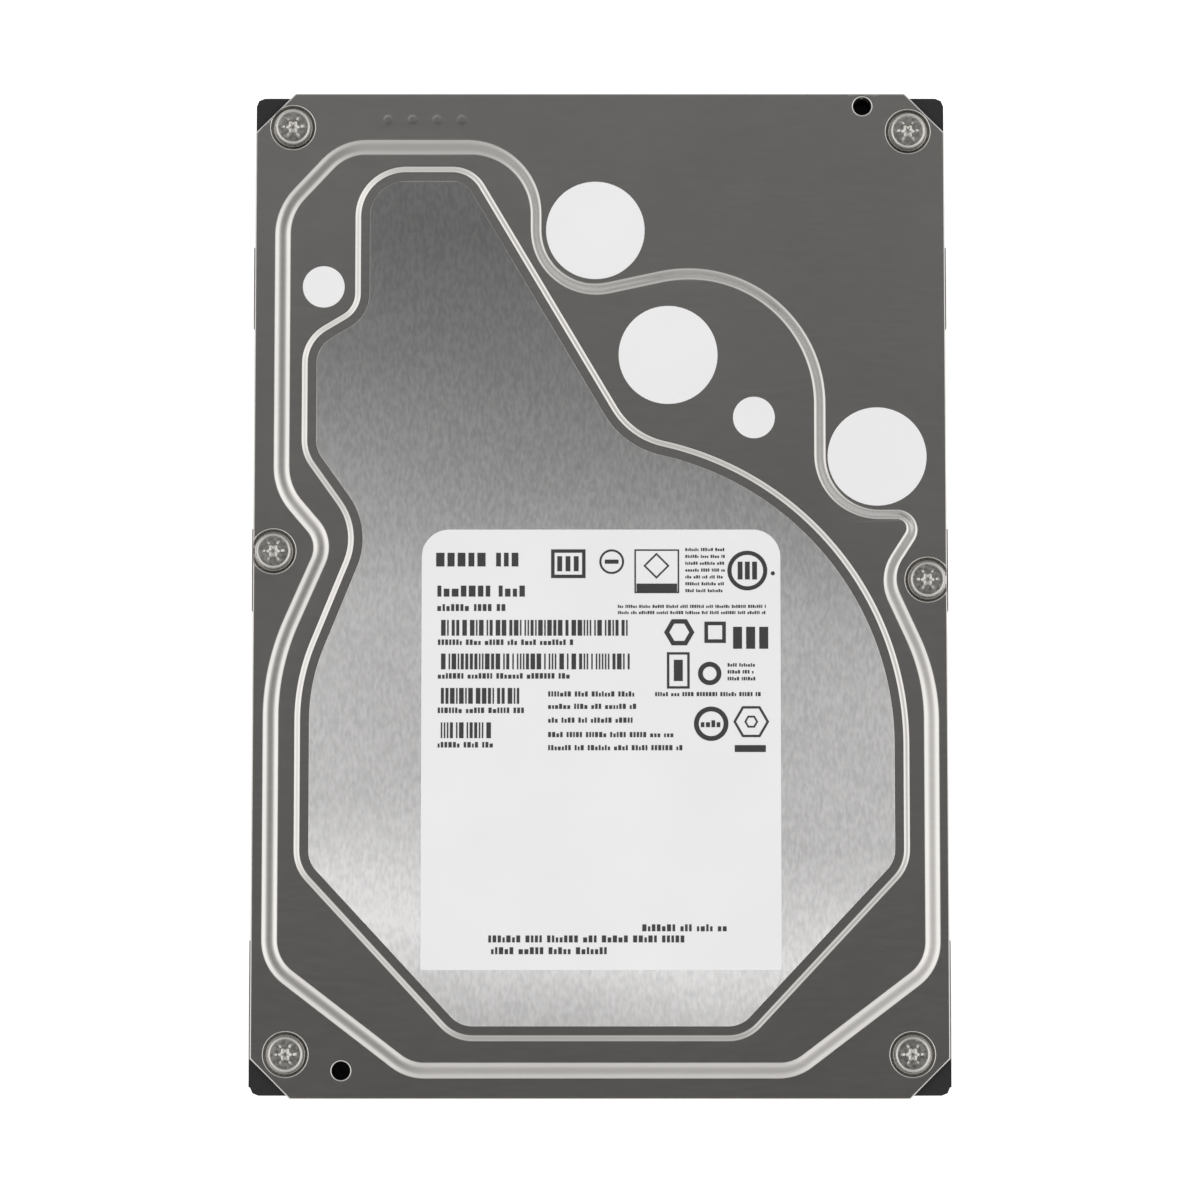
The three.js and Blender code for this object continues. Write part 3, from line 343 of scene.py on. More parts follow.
class Shell:
    """Vertices and faces of a new piece, put together ring by ring."""

    def __init__(self):
        self.verts = []
        self.faces = []

    def ring(self, points, height):
        first = len(self.verts)
        self.verts += [(p.x, p.y, height(p) if callable(height) else height) for p in points]
        return list(range(first, len(self.verts)))

    def point(self, x, y, z):
        self.verts.append((x, y, z))
        return len(self.verts) - 1

    def band(self, a, b):
        for i in range(len(a)):
            j = (i + 1) % len(a)
            self.faces.append((a[i], a[j], b[j], b[i]))

    def bands(self, rings):
        for a, b in zip(rings, rings[1:]):
            self.band(a, b)

    def cap(self, ring, tip):
        for i in range(len(ring)):
            self.faces.append((ring[i], ring[(i + 1) % len(ring)], tip))

    def fill(self, *rings):
        flat = [index for ring in rings for index in ring]
        lines = [[Vector((*self.verts[i][:2], 0)) for i in ring] for ring in rings]
        self.faces += [tuple(flat[k] for k in triangle) for triangle in tessellate_polygon(lines)]

    def plate(self, loops, low, high, edge, steps=3):
        """A plate inside the first loop, with the others as holes, and its edges rounded."""
        bottoms, tops = [], []
        for loop in loops:
            arcs = [math.pi / 2 * k / steps for k in range(steps + 1)]
            bends = [(1 - math.sin(a), 1 - math.cos(a)) for a in arcs]
            rings = [self.ring(inset(loop, edge * along), low + edge * up) for along, up in bends]
            rings += [self.ring(inset(loop, edge * along), high - edge * down) for down, along in bends]
            self.bands(rings)
            bottoms.append(rings[0])
            tops.append(rings[-1])
        self.fill(*bottoms)
        self.fill(*tops)

    def turned(self, profile, centre, closed, facets=96):
        rings = []
        for r, z in profile:
            if r < 2e-3 * MM:
                rings.append([self.point(centre.x, centre.y, z)])
            else:
                rings.append(self.ring(ring_points(centre, r, facets), z))
        pairs = list(zip(rings, rings[1:])) + ([(rings[-1], rings[0])] if closed else [])
        for a, b in pairs:
            if len(a) > 1 and len(b) > 1:
                self.band(a, b)
            elif len(a) > 1 or len(b) > 1:
                self.cap(max(a, b, key=len), min(a, b, key=len)[0])

    def box(self, low, high):
        corners = [Vector((low[0], low[1])), Vector((high[0], low[1])),
                   Vector((high[0], high[1])), Vector((low[0], high[1]))]
        bottom, top = self.ring(corners, low[2]), self.ring(corners, high[2])
        self.band(bottom, top)
        self.faces += [tuple(reversed(bottom)), tuple(top)]

    def piece(self, name, material, flat=False):
        mesh = bpy.data.meshes.new(name)
        mesh.from_pydata(self.verts, [], self.faces)
        bm = bmesh.new()
        bm.from_mesh(mesh)
        bmesh.ops.recalc_face_normals(bm, faces=bm.faces)
        bm.to_mesh(mesh)
        bm.free()
        mesh.materials.append(material)
        piece = bpy.data.objects.new(name, mesh)
        bpy.context.scene.collection.objects.link(piece)
        if not flat:
            shade(piece)
        return piece


def shade(piece, sharp=math.radians(50)):
    """Smooth shading that keeps the large flats flat."""
    mesh = piece.data
    mesh.polygons.foreach_set("use_smooth", [True] * len(mesh.polygons))
    mesh.set_sharp_from_angle(angle=sharp)
    even = piece.modifiers.new("even_normals", "WEIGHTED_NORMAL")
    even.keep_sharp = True
    even.weight = 100


def stands_for(piece, *nodes):
    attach(piece, body_of[nodes[0]])
    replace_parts(piece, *nodes)
    return piece


# ---------------------------------------------------------------- materials

def new_node(tree, kind, **settings):
    made = tree.nodes.new(kind)
    for key, value in settings.items():
        setattr(made, key, value)
    return made


def set_stops(node, stops, low, high):
    """Grey levels along a colour ramp: stops are (place, level), with places between low and high."""
    for _ in stops[2:]:
        node.color_ramp.elements.new(0.5)
    for element, (place, level) in zip(node.color_ramp.elements, stops):
        element.position = (place - low) / (high - low)
        element.color = (level, level, level, 1)
    return node.outputs["Color"]


class Finish:
    """A Principled material with a few procedural layers, in object coordinates (metres)."""

    def __init__(self, name, colour, roughness, metallic=0.0, coat=0.0):
        self.material = bpy.data.materials.new(name)
        self.material.use_nodes = True
        self.tree = self.material.node_tree
        self.shader = self.tree.nodes["Principled BSDF"]
        self.colour = colour
        for socket, value in (("Base Color", (*colour, 1)), ("Roughness", roughness), ("Metallic", metallic),
                              ("Coat Weight", coat), ("Coat Roughness", 0.1)):
            self.shader.inputs[socket].default_value = value
        self.where = self.tree.nodes.new("ShaderNodeTexCoord").outputs["Object"]

    def node(self, kind, **settings):
        return new_node(self.tree, kind, **settings)

    def link(self, output, socket):
        self.tree.links.new(output, socket)

    def noise(self, cells, detail=2.0):
        """Noise with that many cells a metre along each axis."""
        mapping = self.node("ShaderNodeMapping")
        mapping.inputs["Scale"].default_value = cells if hasattr(cells, "__len__") else (cells,) * 3
        self.link(self.where, mapping.inputs["Vector"])
        noise = self.node("ShaderNodeTexNoise")
        noise.inputs["Scale"].default_value = 1.0
        noise.inputs["Detail"].default_value = detail
        self.link(mapping.outputs["Vector"], noise.inputs["Vector"])
        return noise.outputs["Fac"]

    def ranged(self, value, low, high, start=0.3, stop=0.7):
        """From low to high as the value goes from start to stop."""
        node = self.node("ShaderNodeMapRange")
        for socket, number in (("From Min", start), ("From Max", stop), ("To Min", low), ("To Max", high)):
            node.inputs[socket].default_value = number
        self.link(value, node.inputs["Value"])
        return node.outputs["Result"]

    def times(self, a, b):
        node = self.node("ShaderNodeMath", operation="MULTIPLY")
        self.link(a, node.inputs[0])
        self.link(b, node.inputs[1])
        return node.outputs[0]

    def shades(self, *factors):
        """Base colour times each of the grey factors."""
        value = factors[0]
        for factor in factors[1:]:
            value = self.times(value, factor)
        node = self.node("ShaderNodeVectorMath", operation="SCALE")
        node.inputs[0].default_value = self.colour
        self.link(value, node.inputs["Scale"])
        self.link(node.outputs["Vector"], self.shader.inputs["Base Color"])
        return self

    def rough(self, value):
        self.link(value, self.shader.inputs["Roughness"])
        return self

    def bump(self, value, depth):
        node = self.node("ShaderNodeBump")
        node.inputs["Distance"].default_value = depth
        node.inputs["Strength"].default_value = 1.0
        self.link(value, node.inputs["Height"])
        self.link(node.outputs["Normal"], self.shader.inputs["Normal"])
        return self


def rolled_steel(name, colour, roughness, grain, swing=0.04, cloud=0.05):
    """Sheet steel. Grain is its cells a metre along each axis; it runs along the axis with the fewest."""
    made = Finish(name, colour, roughness, metallic=1.0)
    lines = made.noise(grain, detail=1)
    patches = made.noise(45, detail=2)
    made.shades(made.ranged(lines, 1 - swing, 1 + swing), made.ranged(patches, 1 - cloud, 1 + cloud))
    made.rough(made.ranged(lines, roughness * 0.95, roughness * 1.05))
    return made


def plate_with_painted_reflection(name):
    """Brushed sheet, smoother towards its narrow end and rougher to its broad one, with a painted reflection:
    darker towards the narrow end, brighter towards the broad one.
    """
    made = Finish(name, (1.0, 1.0, 1.01), 0.4, metallic=1.0)
    parts = made.node("ShaderNodeSeparateXYZ")
    made.link(made.where, parts.inputs[0])
    along = made.node("ShaderNodeMath", operation="MULTIPLY_ADD")
    made.link(parts.outputs["X"], along.inputs[0])
    along.inputs[1].default_value = 0.12
    made.link(parts.outputs["Y"], along.inputs[2])

    def curve(*stops):
        """A value that follows the place along the plate, in millimetres from the middle of the drive."""
        ramp = made.node("ShaderNodeValToRGB")
        made.link(made.ranged(along.outputs[0], 0, 1, -70 * MM, 70 * MM), ramp.inputs[0])
        return set_stops(ramp, stops, -70, 70)

    lines = made.noise((2300, 900, 900), detail=1)
    patches = made.noise(45, detail=2)
    # painted light: this grey along the plate is a painted reflection of the studio light, brighter at the
    # broad end and darker at the narrow one
    shade = curve((-70, 0.66), (-52, 0.98), (-34, 0.8), (-4, 0.75), (15, 0.64), (32, 0.53), (50, 0.37))
    rough = curve((-70, 0.42), (-52, 0.5), (-34, 0.44), (-4, 0.42), (15, 0.35), (32, 0.3), (50, 0.3))
    made.shades(shade, made.ranged(lines, 0.94, 1.06), made.ranged(patches, 0.96, 1.04))
    return made.rough(made.times(rough, made.ranged(lines, 0.96, 1.04)))


def moulded(name, colour, roughness, cells=2500, depth=0.012 * MM, swing=0.12, **more):
    """A plastic, rubber or coating with a fine even texture."""
    made = Finish(name, colour, roughness, **more)
    speckle = made.noise(cells, detail=2)
    patches = made.noise(60, detail=2)
    made.shades(made.ranged(patches, 1 - swing, 1 + swing))
    made.rough(made.ranged(speckle, roughness * 0.88, roughness * 1.1))
    return made.bump(speckle, depth)


def machined(name, colour, roughness, cells=1800, swing=0.06):
    """Turned or plated metal with a fine even grain."""
    made = Finish(name, colour, roughness, metallic=1.0)
    grain = made.noise((cells, cells, cells * 3), detail=2)
    patches = made.noise(120, detail=2)
    made.shades(made.ranged(grain, 1 - swing, 1 + swing), made.ranged(patches, 0.96, 1.04))
    return made.rough(made.ranged(grain, roughness * 0.8, roughness * 1.25))


cover_steel = rolled_steel("cover_steel", (0.56, 0.55, 0.535), 0.19, (300, 1900, 90), swing=0.012, cloud=0.03)
plate_steel = plate_with_painted_reflection("plate_steel")
black_casting = moulded("black_casting", (0.006, 0.006, 0.007), 0.5, cells=1700, depth=0.02 * MM)
screw_steel = machined("screw_steel", (0.5, 0.49, 0.47), 0.27)
label_film = moulded("label_paper", (0.86, 0.865, 0.885), 0.5, cells=4000, depth=0.004 * MM, swing=0.015)
print_ink = moulded("print_ink", (0.035, 0.035, 0.038), 0.6, cells=4000, depth=0.004 * MM, swing=0.2)
rubber = moulded("rubber_seal", (0.02, 0.02, 0.02), 0.7, cells=1200)
foam = moulded("foam", (0.03, 0.03, 0.033), 0.9, cells=3500, depth=0.06 * MM, swing=0.2)
board_green = moulded("board", (0.012, 0.10, 0.045), 0.32, cells=900, depth=0.008 * MM, coat=0.5)
trace_green = moulded("board_traces", (0.03, 0.19, 0.085), 0.35, cells=900, depth=0.008 * MM, coat=0.5)
contact_gold = machined("contact_gold", (0.95, 0.68, 0.30), 0.22)
solder = machined("solder", (0.78, 0.78, 0.77), 0.28, cells=900)
chip_epoxy = moulded("chip_epoxy", (0.02, 0.02, 0.022), 0.55, cells=5000)
black_plastic = moulded("black_plastic", (0.014, 0.014, 0.015), 0.42, cells=3000)
white_plastic = moulded("white_plastic", (0.75, 0.73, 0.67), 0.4)
disk_mirror = Finish("disk_mirror", (0.86, 0.86, 0.87), 0.05, metallic=1.0)
disk_mirror.rough(disk_mirror.ranged(disk_mirror.noise(300), 0.035, 0.07))
aluminium = machined("machined_aluminium", (0.76, 0.77, 0.78), 0.32)
nickel = machined("nickel", (0.68, 0.66, 0.62), 0.24)
copper = machined("copper_winding", (0.62, 0.28, 0.13), 0.3, cells=3000, swing=0.2)
foil_steel = rolled_steel("suspension_steel", (0.62, 0.62, 0.61), 0.25, (3000, 300, 3000))
polyimide = moulded("polyimide", (0.5, 0.2, 0.03), 0.3, coat=0.3)
felt = moulded("felt", (0.85, 0.85, 0.83), 0.95, cells=1500, depth=0.15 * MM, swing=0.05)

finish_of_slot = {
    "cover_steel": cover_steel, "plate_steel": plate_steel, "black_casting": black_casting,
    "screw_steel": screw_steel, "label_paper": label_film, "rubber_seal": rubber, "foam": foam,
    "board": board_green, "chip_epoxy": chip_epoxy, "black_plastic": black_plastic,
    "white_plastic": white_plastic, "disk_mirror": disk_mirror, "machined_aluminium": aluminium,
    "nickel": nickel, "copper_winding": copper, "suspension_steel": foil_steel, "polyimide": polyimide,
    "felt": felt,
}


def material_of(node):
    return finish_of_slot[slot_of[node]].material


# ---------------------------------------------------------------- top cover

def smoothstep(t):
    t = min(1.0, max(0.0, t))
    return t * t * (3 - 2 * t)


class Stamping(Shell):
    """The cover sheet's upper face: each point also has its roll, how far a cut edge near it drops it."""

    def __init__(self, thickness):
        super().__init__()
        self.thickness = thickness
        self.cuts = []

    def ring(self, points, height, roll=0.0):
        first = len(self.verts)
        self.verts += [(p.x, p.y, height(p) if callable(height) else height, roll) for p in points]
        return list(range(first, len(self.verts)))

    def slope(self, outer, inner, z0, z1, steps, start=0.0, stop=1.0):
        """A step between two paired loops. Its bend starts and stops at these shares of the way across."""
        rings = []
        for k in range(steps + 1):
            points = [p.lerp(q, k / steps) for p, q in zip(outer, inner)]
            bent = smoothstep((k / steps - start) / (stop - start))
            rings.append(self.ring(points, z0 + (z1 - z0) * bent))
        self.bands(rings)
        return rings[0], rings[-1]

    def cut_edge(self, points, height, radius):
        """Rings over the rolled edge of a cut, from the flat to the cut itself. Returns the flat's ring."""
        rings = []
        for k in range(4):
            a = math.pi / 2 * k / 3
            inward, roll = radius * (1 - math.sin(a)), radius * (1 - math.cos(a))
            rings.append(self.ring(inset(points, inward), height, roll))
        self.bands(rings)
        self.cuts.append(rings[-1])
        return rings[0]

    def fill_between(self, border, holes, strands):
        """Triangles inside the border ring and outside the hole rings, along the strands of points."""
        def flat(ring):
            return [Vector(self.verts[i][:2]) / MM for i in ring]

        used = sorted({i for ring in [border, *holes, *strands] for i in ring})
        number = {index: k for k, index in enumerate(used)}
        lines = [(number[a], number[b]) for ring in [border, *holes] for a, b in zip([ring[-1], *ring], ring)]
        corners, _, triangles, came_from, *_ = delaunay_2d_cdt(flat(used), lines, [], 0, 1e-6)
        outline, windows = flat(border), [flat(ring) for ring in holes]
        for triangle in triangles:
            centre = sum((corners[k] for k in triangle), Vector((0, 0))) / len(triangle)
            if within(centre, outline) and not any(within(centre, window) for window in windows):
                self.faces.append(tuple(used[came_from[k][0]] for k in triangle))

    def shell(self):
        """Both faces of the sheet and the cut edges between them."""
        made = Shell()
        count = len(self.verts)
        made.verts = [(x, y, z - roll) for x, y, z, roll in self.verts]
        made.verts += [(x, y, z - self.thickness) for x, y, z, roll in self.verts]
        made.faces = self.faces + [tuple(i + count for i in reversed(face)) for face in self.faces]
        for ring in self.cuts:
            made.band(ring, [i + count for i in ring])
        return made


def stepped(points, step):
    """The loop with points added along its sides, step(point) apart."""
    made = []
    for i, start in enumerate(points):
        side = points[(i + 1) % len(points)] - start
        along = 0.0
        while along < side.length - 0.3 * step(start):
            made.append(start + side.normalized() * along)
            along += step(made[-1])
    return made


def centre_of(node):
    """The middle of the node seen from above."""
    low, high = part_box(node)
    return ((low + high) / 2).xy


def stamped_cover():
    """The cover as one pressed sheet: outer land with screw dimples, raised land, and the label's pocket."""
    up, down = flat_loops("top_cover"), flat_loops("top_cover", -1)
    seat_z, land_z, pocket_z, raised_z = sorted(up)[-4:]
    sheet = Stamping(raised_z - max(down))
    low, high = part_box("top_cover")
    roll = 0.16 * MM

    screws = [centre_of(node) for node in sorted(slot_of) if "cover_screw" in node]
    dimple_r, dimple_bend, bore_r = 3.35 * MM, 0.55 * MM, 1.55 * MM
    pips = [Vector((low.x + (19.4 + k * 3.6) * MM, high.y - 3.9 * MM)) for k in range(4)]
    pip_r, pip_bend, pip_high = 0.85 * MM, 0.5 * MM, 0.035 * MM

    def land(point):
        """The height of the outer land, with its dimples and its four small pips."""
        off_screw = min((point - screw).length for screw in screws)
        off_pip = min((point - pip).length for pip in pips)
        dent = (land_z - seat_z) * smoothstep((dimple_r - off_screw) / dimple_bend)
        return land_z - dent + pip_high * smoothstep((pip_r - off_pip) / pip_bend)

    chamfer = min(high.x - abs(p.x) for p in up[land_z][0] if high.y - abs(p.y) < 0.01 * MM)
    square = [(low.x, low.y), (high.x, low.y), (high.x, high.y), (low.x, high.y)]
    border = []
    for i, corner in enumerate(square):
        at = Vector(corner)
        for other in (square[i - 1], square[(i + 1) % 4]):
            border.append(at + (Vector(other) - at).normalized() * chamfer)
    border = stepped(border, lambda p: (0.25 if min((p - s).length for s in screws) < 5 * MM else 1.2) * MM)
    rim = sheet.cut_edge(border, land, roll)
    inner_line = sheet.ring(inset(border, roll + 0.12 * MM), land)

    holes, strands = [], [inner_line]
    inner_border = inset(border, roll + 0.2 * MM)

    def strand(centre, radius, count):
        """A circle of points that the triangles of the land go through."""
        around = ring_points(centre, radius, count)
        strands.append(sheet.ring([p for p in around if within(p, inner_border)], land))

    for screw in screws:
        holes.append(sheet.cut_edge(ring_points(screw, bore_r, 48, clockwise=True), land, 0.1 * MM))
        for k in range(9):
            strand(screw, dimple_r + (0.12 - k * 0.085) * MM, 72)
    for hole in up[land_z][1:]:
        if span(hole) < 4 * MM:
            centre, radius = middle(hole), span(hole) / 2
            holes.append(sheet.cut_edge(ring_points(centre, radius, 48, clockwise=True), land, 0.22 * MM))
            for gap in (0.3, 0.42, 0.6, 0.9):
                strand(centre, radius + gap * MM, 48)
    for pip in pips:
        for k in range(7):
            strand(pip, (0.15 + k * 0.12) * MM, 24)

    foot, crest = fine_pair(up[land_z][1], up[raised_z][0])
    lower, upper = sheet.slope(foot, crest, land_z, raised_z, 14)
    pocket_rim, pocket_foot = fine_pair(up[raised_z][1], up[pocket_z][0])
    pocket_high, pocket_low = sheet.slope(pocket_rim, pocket_foot, raised_z, pocket_z, 20, 0.2, 0.85)
    sheet.fill_between(rim, [*holes, lower], strands)
    sheet.fill(upper, pocket_high)
    sheet.fill(pocket_low)
    return sheet.shell().piece("cover_shell", cover_steel.material)


stands_for(stamped_cover(), "top_cover")


# ---------------------------------------------------------------- plates, discs and turned parts

def refined_plate(node, edge):
    """The node's flat outline as a plate with finely sampled corners and rounded edges."""
    low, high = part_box(node)
    loops = flat_loops(node)[max(flat_loops(node))]
    shell = Shell()
    shell.plate([fine(loop) for loop in loops], low.z, high.z, edge)
    return stands_for(shell.piece(f"{node}_fine", material_of(node)), node)


def refined_turning(node, edge):
    """The node turned again about its own vertical axis, with finer facets and rounded corners."""
    centre = centre_of(node)
    shell = Shell()
    for points, closed in section(node, centre):
        shell.turned(softened(points, edge, closed), centre, closed)
    return stands_for(shell.piece(f"{node}_fine", material_of(node)), node)


refined_plate("damping_plate", 0.06 * MM)
refined_plate("main_label", 0.02 * MM)
for node in ("seal_large_1", "seal_large_2", "seal_large_3", "seal_small_1", "seal_small_2"):
    refined_plate(node, 0.02 * MM)


def torx_screw(node):
    """A button-headed screw with a six-lobed recess, head up or down as the node's is."""
    low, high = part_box(node)
    centre = centre_of(node)
    head_r = (high.x - low.x) / 2
    wide = [v.co.z for v in frame["nodes"][node].data.vertices if (v.co.xy - centre).length > 0.9 * head_r]
    up = 1 if high.z - max(wide) < min(wide) - low.z else -1
    top, seat, tip = (high.z, min(wide), low.z) if up > 0 else (low.z, max(wide), high.z)
    shank_r = 1.25 * MM
    recess_r = 0.42 * head_r
    crown = 0.55 * MM
    facets = 72

    def lobed(scale):
        """The recess's outline: six lobes, an eighth of its radius in and out."""
        points = []
        for k in range(facets):
            a = 2 * math.pi * k / facets
            r = recess_r * scale * (0.875 + 0.125 * math.cos(6 * a))
            points.append(centre + Vector((math.cos(a), math.sin(a))) * r)
        return points

    def down(depth):
        return top - up * depth * MM

    shell = Shell()
    walls = ((0.80, 0.72), (0.95, 0.66), (1.0, 0.55), (1.0, 0.07), (1.06, 0.0))
    rings = [shell.ring(lobed(scale), down(depth)) for scale, depth in walls]

    def round_ring(radius, height):
        rings.append(shell.ring(ring_points(centre, radius, facets), height))

    round_ring(head_r - crown, down(0.0))
    for k in range(1, 6):
        a = math.pi / 2 * k / 5
        round_ring(head_r - crown * (1 - math.sin(a)), down(0.45 * (1 - math.cos(a))))
    round_ring(head_r, seat + up * 0.08 * MM)
    round_ring(head_r - 0.08 * MM, seat)
    round_ring(shank_r, seat)
    pitch, thread_depth, plain = 0.55 * MM, 0.14 * MM, 0.3 * MM
    threads = int((abs(seat - tip) - 3 * plain) / pitch)
    for k in range(threads):
        base = seat - up * (plain + k * pitch)
        round_ring(shank_r, base)
        round_ring(shank_r - thread_depth, base - up * pitch / 2)
    round_ring(shank_r, seat - up * (plain + threads * pitch))
    round_ring(shank_r * 0.75, tip + up * 0.1 * MM)
    round_ring(shank_r * 0.65, tip)
    shell.bands(rings)
    shell.cap(rings[0], shell.point(centre.x, centre.y, down(1.05)))
    shell.cap(rings[-1], shell.point(centre.x, centre.y, tip))
    return stands_for(shell.piece(f"{node}_fine", screw_steel.material), node)


for node in sorted(slot_of):
    if "screw" in node:
        torx_screw(node)


for node in ("bearing_sleeve", "spindle_shaft", "spindle_hub", "rotor_magnet", "platter_1", "platter_2",
             "platter_3", "platter_spacer_1", "platter_spacer_2", "disk_clamp", "pivot_bearing", "crash_stop",
             "breather_filter"):
    refined_turning(node, 0.15 * MM)
for node in ("circuit_board", "board_insulator", "controller_chip", "motor_driver_chip", "memory_chip",
             "vcm_top_yoke", "vcm_top_magnet", "vcm_bottom_magnet", "voice_coil", "actuator_latch",
             "flex_bracket", "recirculation_filter", "flex_circuit"):
    refined_plate(node, 0.08 * MM)


# ---------------------------------------------------------------- what is printed on the label

class Print(Shell):
    """Raised ink on a node's top face. Places are millimetres right and down from its top left corner."""

    def __init__(self, node):
        super().__init__()
        low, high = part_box(node)
        self.left, self.top, self.base = low.x, high.y, high.z - 0.005 * MM
        self.height = high.z + 0.03 * MM
        self.chance = random.Random(7)

    def at(self, u, v):
        return Vector((self.left + u * MM, self.top - v * MM))

    def shape(self, points, *holes):
        """A printed area, with any holes running the other way round."""
        loops = [[self.at(*p) for p in line] for line in (points, *holes)]
        bottoms = [self.ring(loop, self.base) for loop in loops]
        tops = [self.ring(loop, self.height) for loop in loops]
        for low, high in zip(bottoms, tops):
            self.band(low, high)
        self.fill(*bottoms)
        self.fill(*tops)

    def bar(self, u0, v0, u1, v1):
        self.shape([(u0, v0), (u0, v1), (u1, v1), (u1, v0)])

    def frame(self, u0, v0, u1, v1, line):
        left, top, right, bottom = u0 + line, v0 + line, u1 - line, v1 - line
        inner = [(left, top), (right, top), (right, bottom), (left, bottom)]
        self.shape([(u0, v0), (u0, v1), (u1, v1), (u1, v0)], inner)

    def round(self, u, v, r, line=None, sides=40, turn=0.0):
        """A disc, or a ring if it has a line width, or the same with fewer sides."""
        def around(radius, way):
            return [(u + radius * math.cos(turn + way * 2 * math.pi * k / sides),
                     v + radius * math.sin(turn + way * 2 * math.pi * k / sides)) for k in range(sides)]
        if line is None:
            self.shape(around(r, 1))
        else:
            self.shape(around(r, 1), around(r - line, -1))

    def words(self, u0, v0, u1, v1):
        """A line of blocks in place of lettering."""
        tall = v1 - v0
        u = u0
        while u < u1 - 0.3 * tall:
            for _ in range(self.chance.randint(3, 7)):
                wide = tall * self.chance.uniform(0.32, 0.62)
                if u + wide > u1:
                    return
                rise = self.chance.choice((0.0, 0.0, 0.28))
                self.bar(u, v0 + tall * rise, u + wide, v1)
                u += wide + tall * 0.22
            u += tall * 0.55

    def stripes(self, u0, v0, u1, v1):
        """Upright stripes of uneven width, which stand for no number."""
        u = u0
        while u < u1 - 0.2:
            wide = self.chance.choice((0.22, 0.22, 0.44, 0.66))
            self.bar(u, v0, min(u + wide, u1), v1)
            u += wide + self.chance.choice((0.22, 0.22, 0.44))


def label_print():
    """Blocks, stripes and plain shapes where such a label has lettering, codes and marks."""
    ink = Print("main_label")
    for u0, v0, u1, v1 in ((2.1, 3.4, 15.5, 5.4), (2.3, 8.2, 15.6, 9.8), (2.3, 10.9, 12.5, 11.9)):
        ink.words(u0, v0, u1, v1)
    for v, end, under in ((13.2, 30.2, 22.2), (18.1, 30.2, 22.2), (23.1, 14.2, 15.1), (28.1, 10.2, 11.0)):
        ink.stripes(2.85, v, end, v + 2.3)
        ink.words(2.4, v + 2.85, under, v + 3.65)
    for v, end in ((23.6, 31.3), (25.4, 31.3), (27.4, 31.3), (29.5, 37.4), (31.4, 38.1)):
        ink.words(18.4, v, end, v + 0.75)
    for v in (11.0, 11.9):
        ink.words(28.5, v, 50.0, v + 0.45)
    ink.words(33.9, 23.7, 49.2, 24.3)
    for u0, v, u1 in ((32.0, 57.3, 44.7), (9.8, 58.9, 38.1), (10.2, 60.6, 27.5)):
        ink.words(u0, v, u1, v + 1.0)

    # plain badges: framed and free bars, rings, a framed lozenge, squares, a dot and hexagons
    ink.frame(18.8, 2.9, 23.8, 7.1, 0.5)
    for k in range(3):
        ink.bar(19.7 + k * 1.2, 3.9, 20.4 + k * 1.2, 6.1)
    ink.round(27.6, 4.7, 1.8, 0.3)
    ink.bar(26.6, 4.4, 28.6, 5.0)
    ink.frame(30.9, 2.9, 37.4, 9.3, 0.22)
    ink.round(34.1, 5.3, 1.9, 0.35, sides=4)
    ink.bar(31.2, 7.9, 37.1, 9.1)
    for k in range(7):
        ink.words(38.3, 2.7 + k, 44.1, 3.15 + k)
    ink.round(47.3, 6.0, 2.9, 0.6)
    for k in range(3):
        ink.bar(45.9 + k * 1.05, 4.7, 46.6 + k * 1.05, 7.3)
    ink.round(51.0, 6.4, 0.3, sides=16)
    ink.round(37.4, 15.0, 2.2, 0.75, sides=6)
    ink.round(42.6, 15.0, 2.2, 0.75, sides=4, turn=math.pi / 4)
    for k in range(3):
        ink.bar(45.2 + k * 1.9, 14.2, 46.5 + k * 1.9, 17.4)
    ink.frame(35.6, 17.9, 38.9, 23.2, 0.35)
    ink.bar(36.6, 19.0, 37.9, 22.1)
    ink.round(41.8, 21.0, 1.7, 0.7)
    for k in range(3):
        ink.words(44.4, 19.5 + k, 48.4, 20.0 + k)
    ink.round(42.0, 28.3, 2.5, 0.7)
    ink.words(40.5, 27.8, 43.6, 28.8)
    ink.round(47.8, 28.0, 2.6, 0.4, sides=6)
    ink.round(47.8, 28.0, 1.0, 0.3, sides=6)
    ink.bar(45.4, 31.4, 49.9, 32.4)
    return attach(ink.piece("label_print", print_ink.material, flat=True), "chassis")


label_print()


# ---------------------------------------------------------------- circuit board and connector details

def ribbon(shell, points, width, low, high):
    """A thin strip along a line of points."""
    left, right = [], []
    for i, point in enumerate(points):
        before = (point - points[i - 1]).normalized() if i else (points[1] - point).normalized()
        after = (points[i + 1] - point).normalized() if i + 1 < len(points) else before
        way = Vector((-(before.y + after.y), before.x + after.x)).normalized()
        reach = width / 2 / max(0.5, way.dot(Vector((-before.y, before.x))))
        left.append(point + way * reach)
        right.append(point - way * reach)
    loop = left + right[::-1]
    bottom, top = shell.ring(loop, low), shell.ring(loop, high)
    shell.band(bottom, top)
    shell.fill(bottom)
    shell.fill(top)


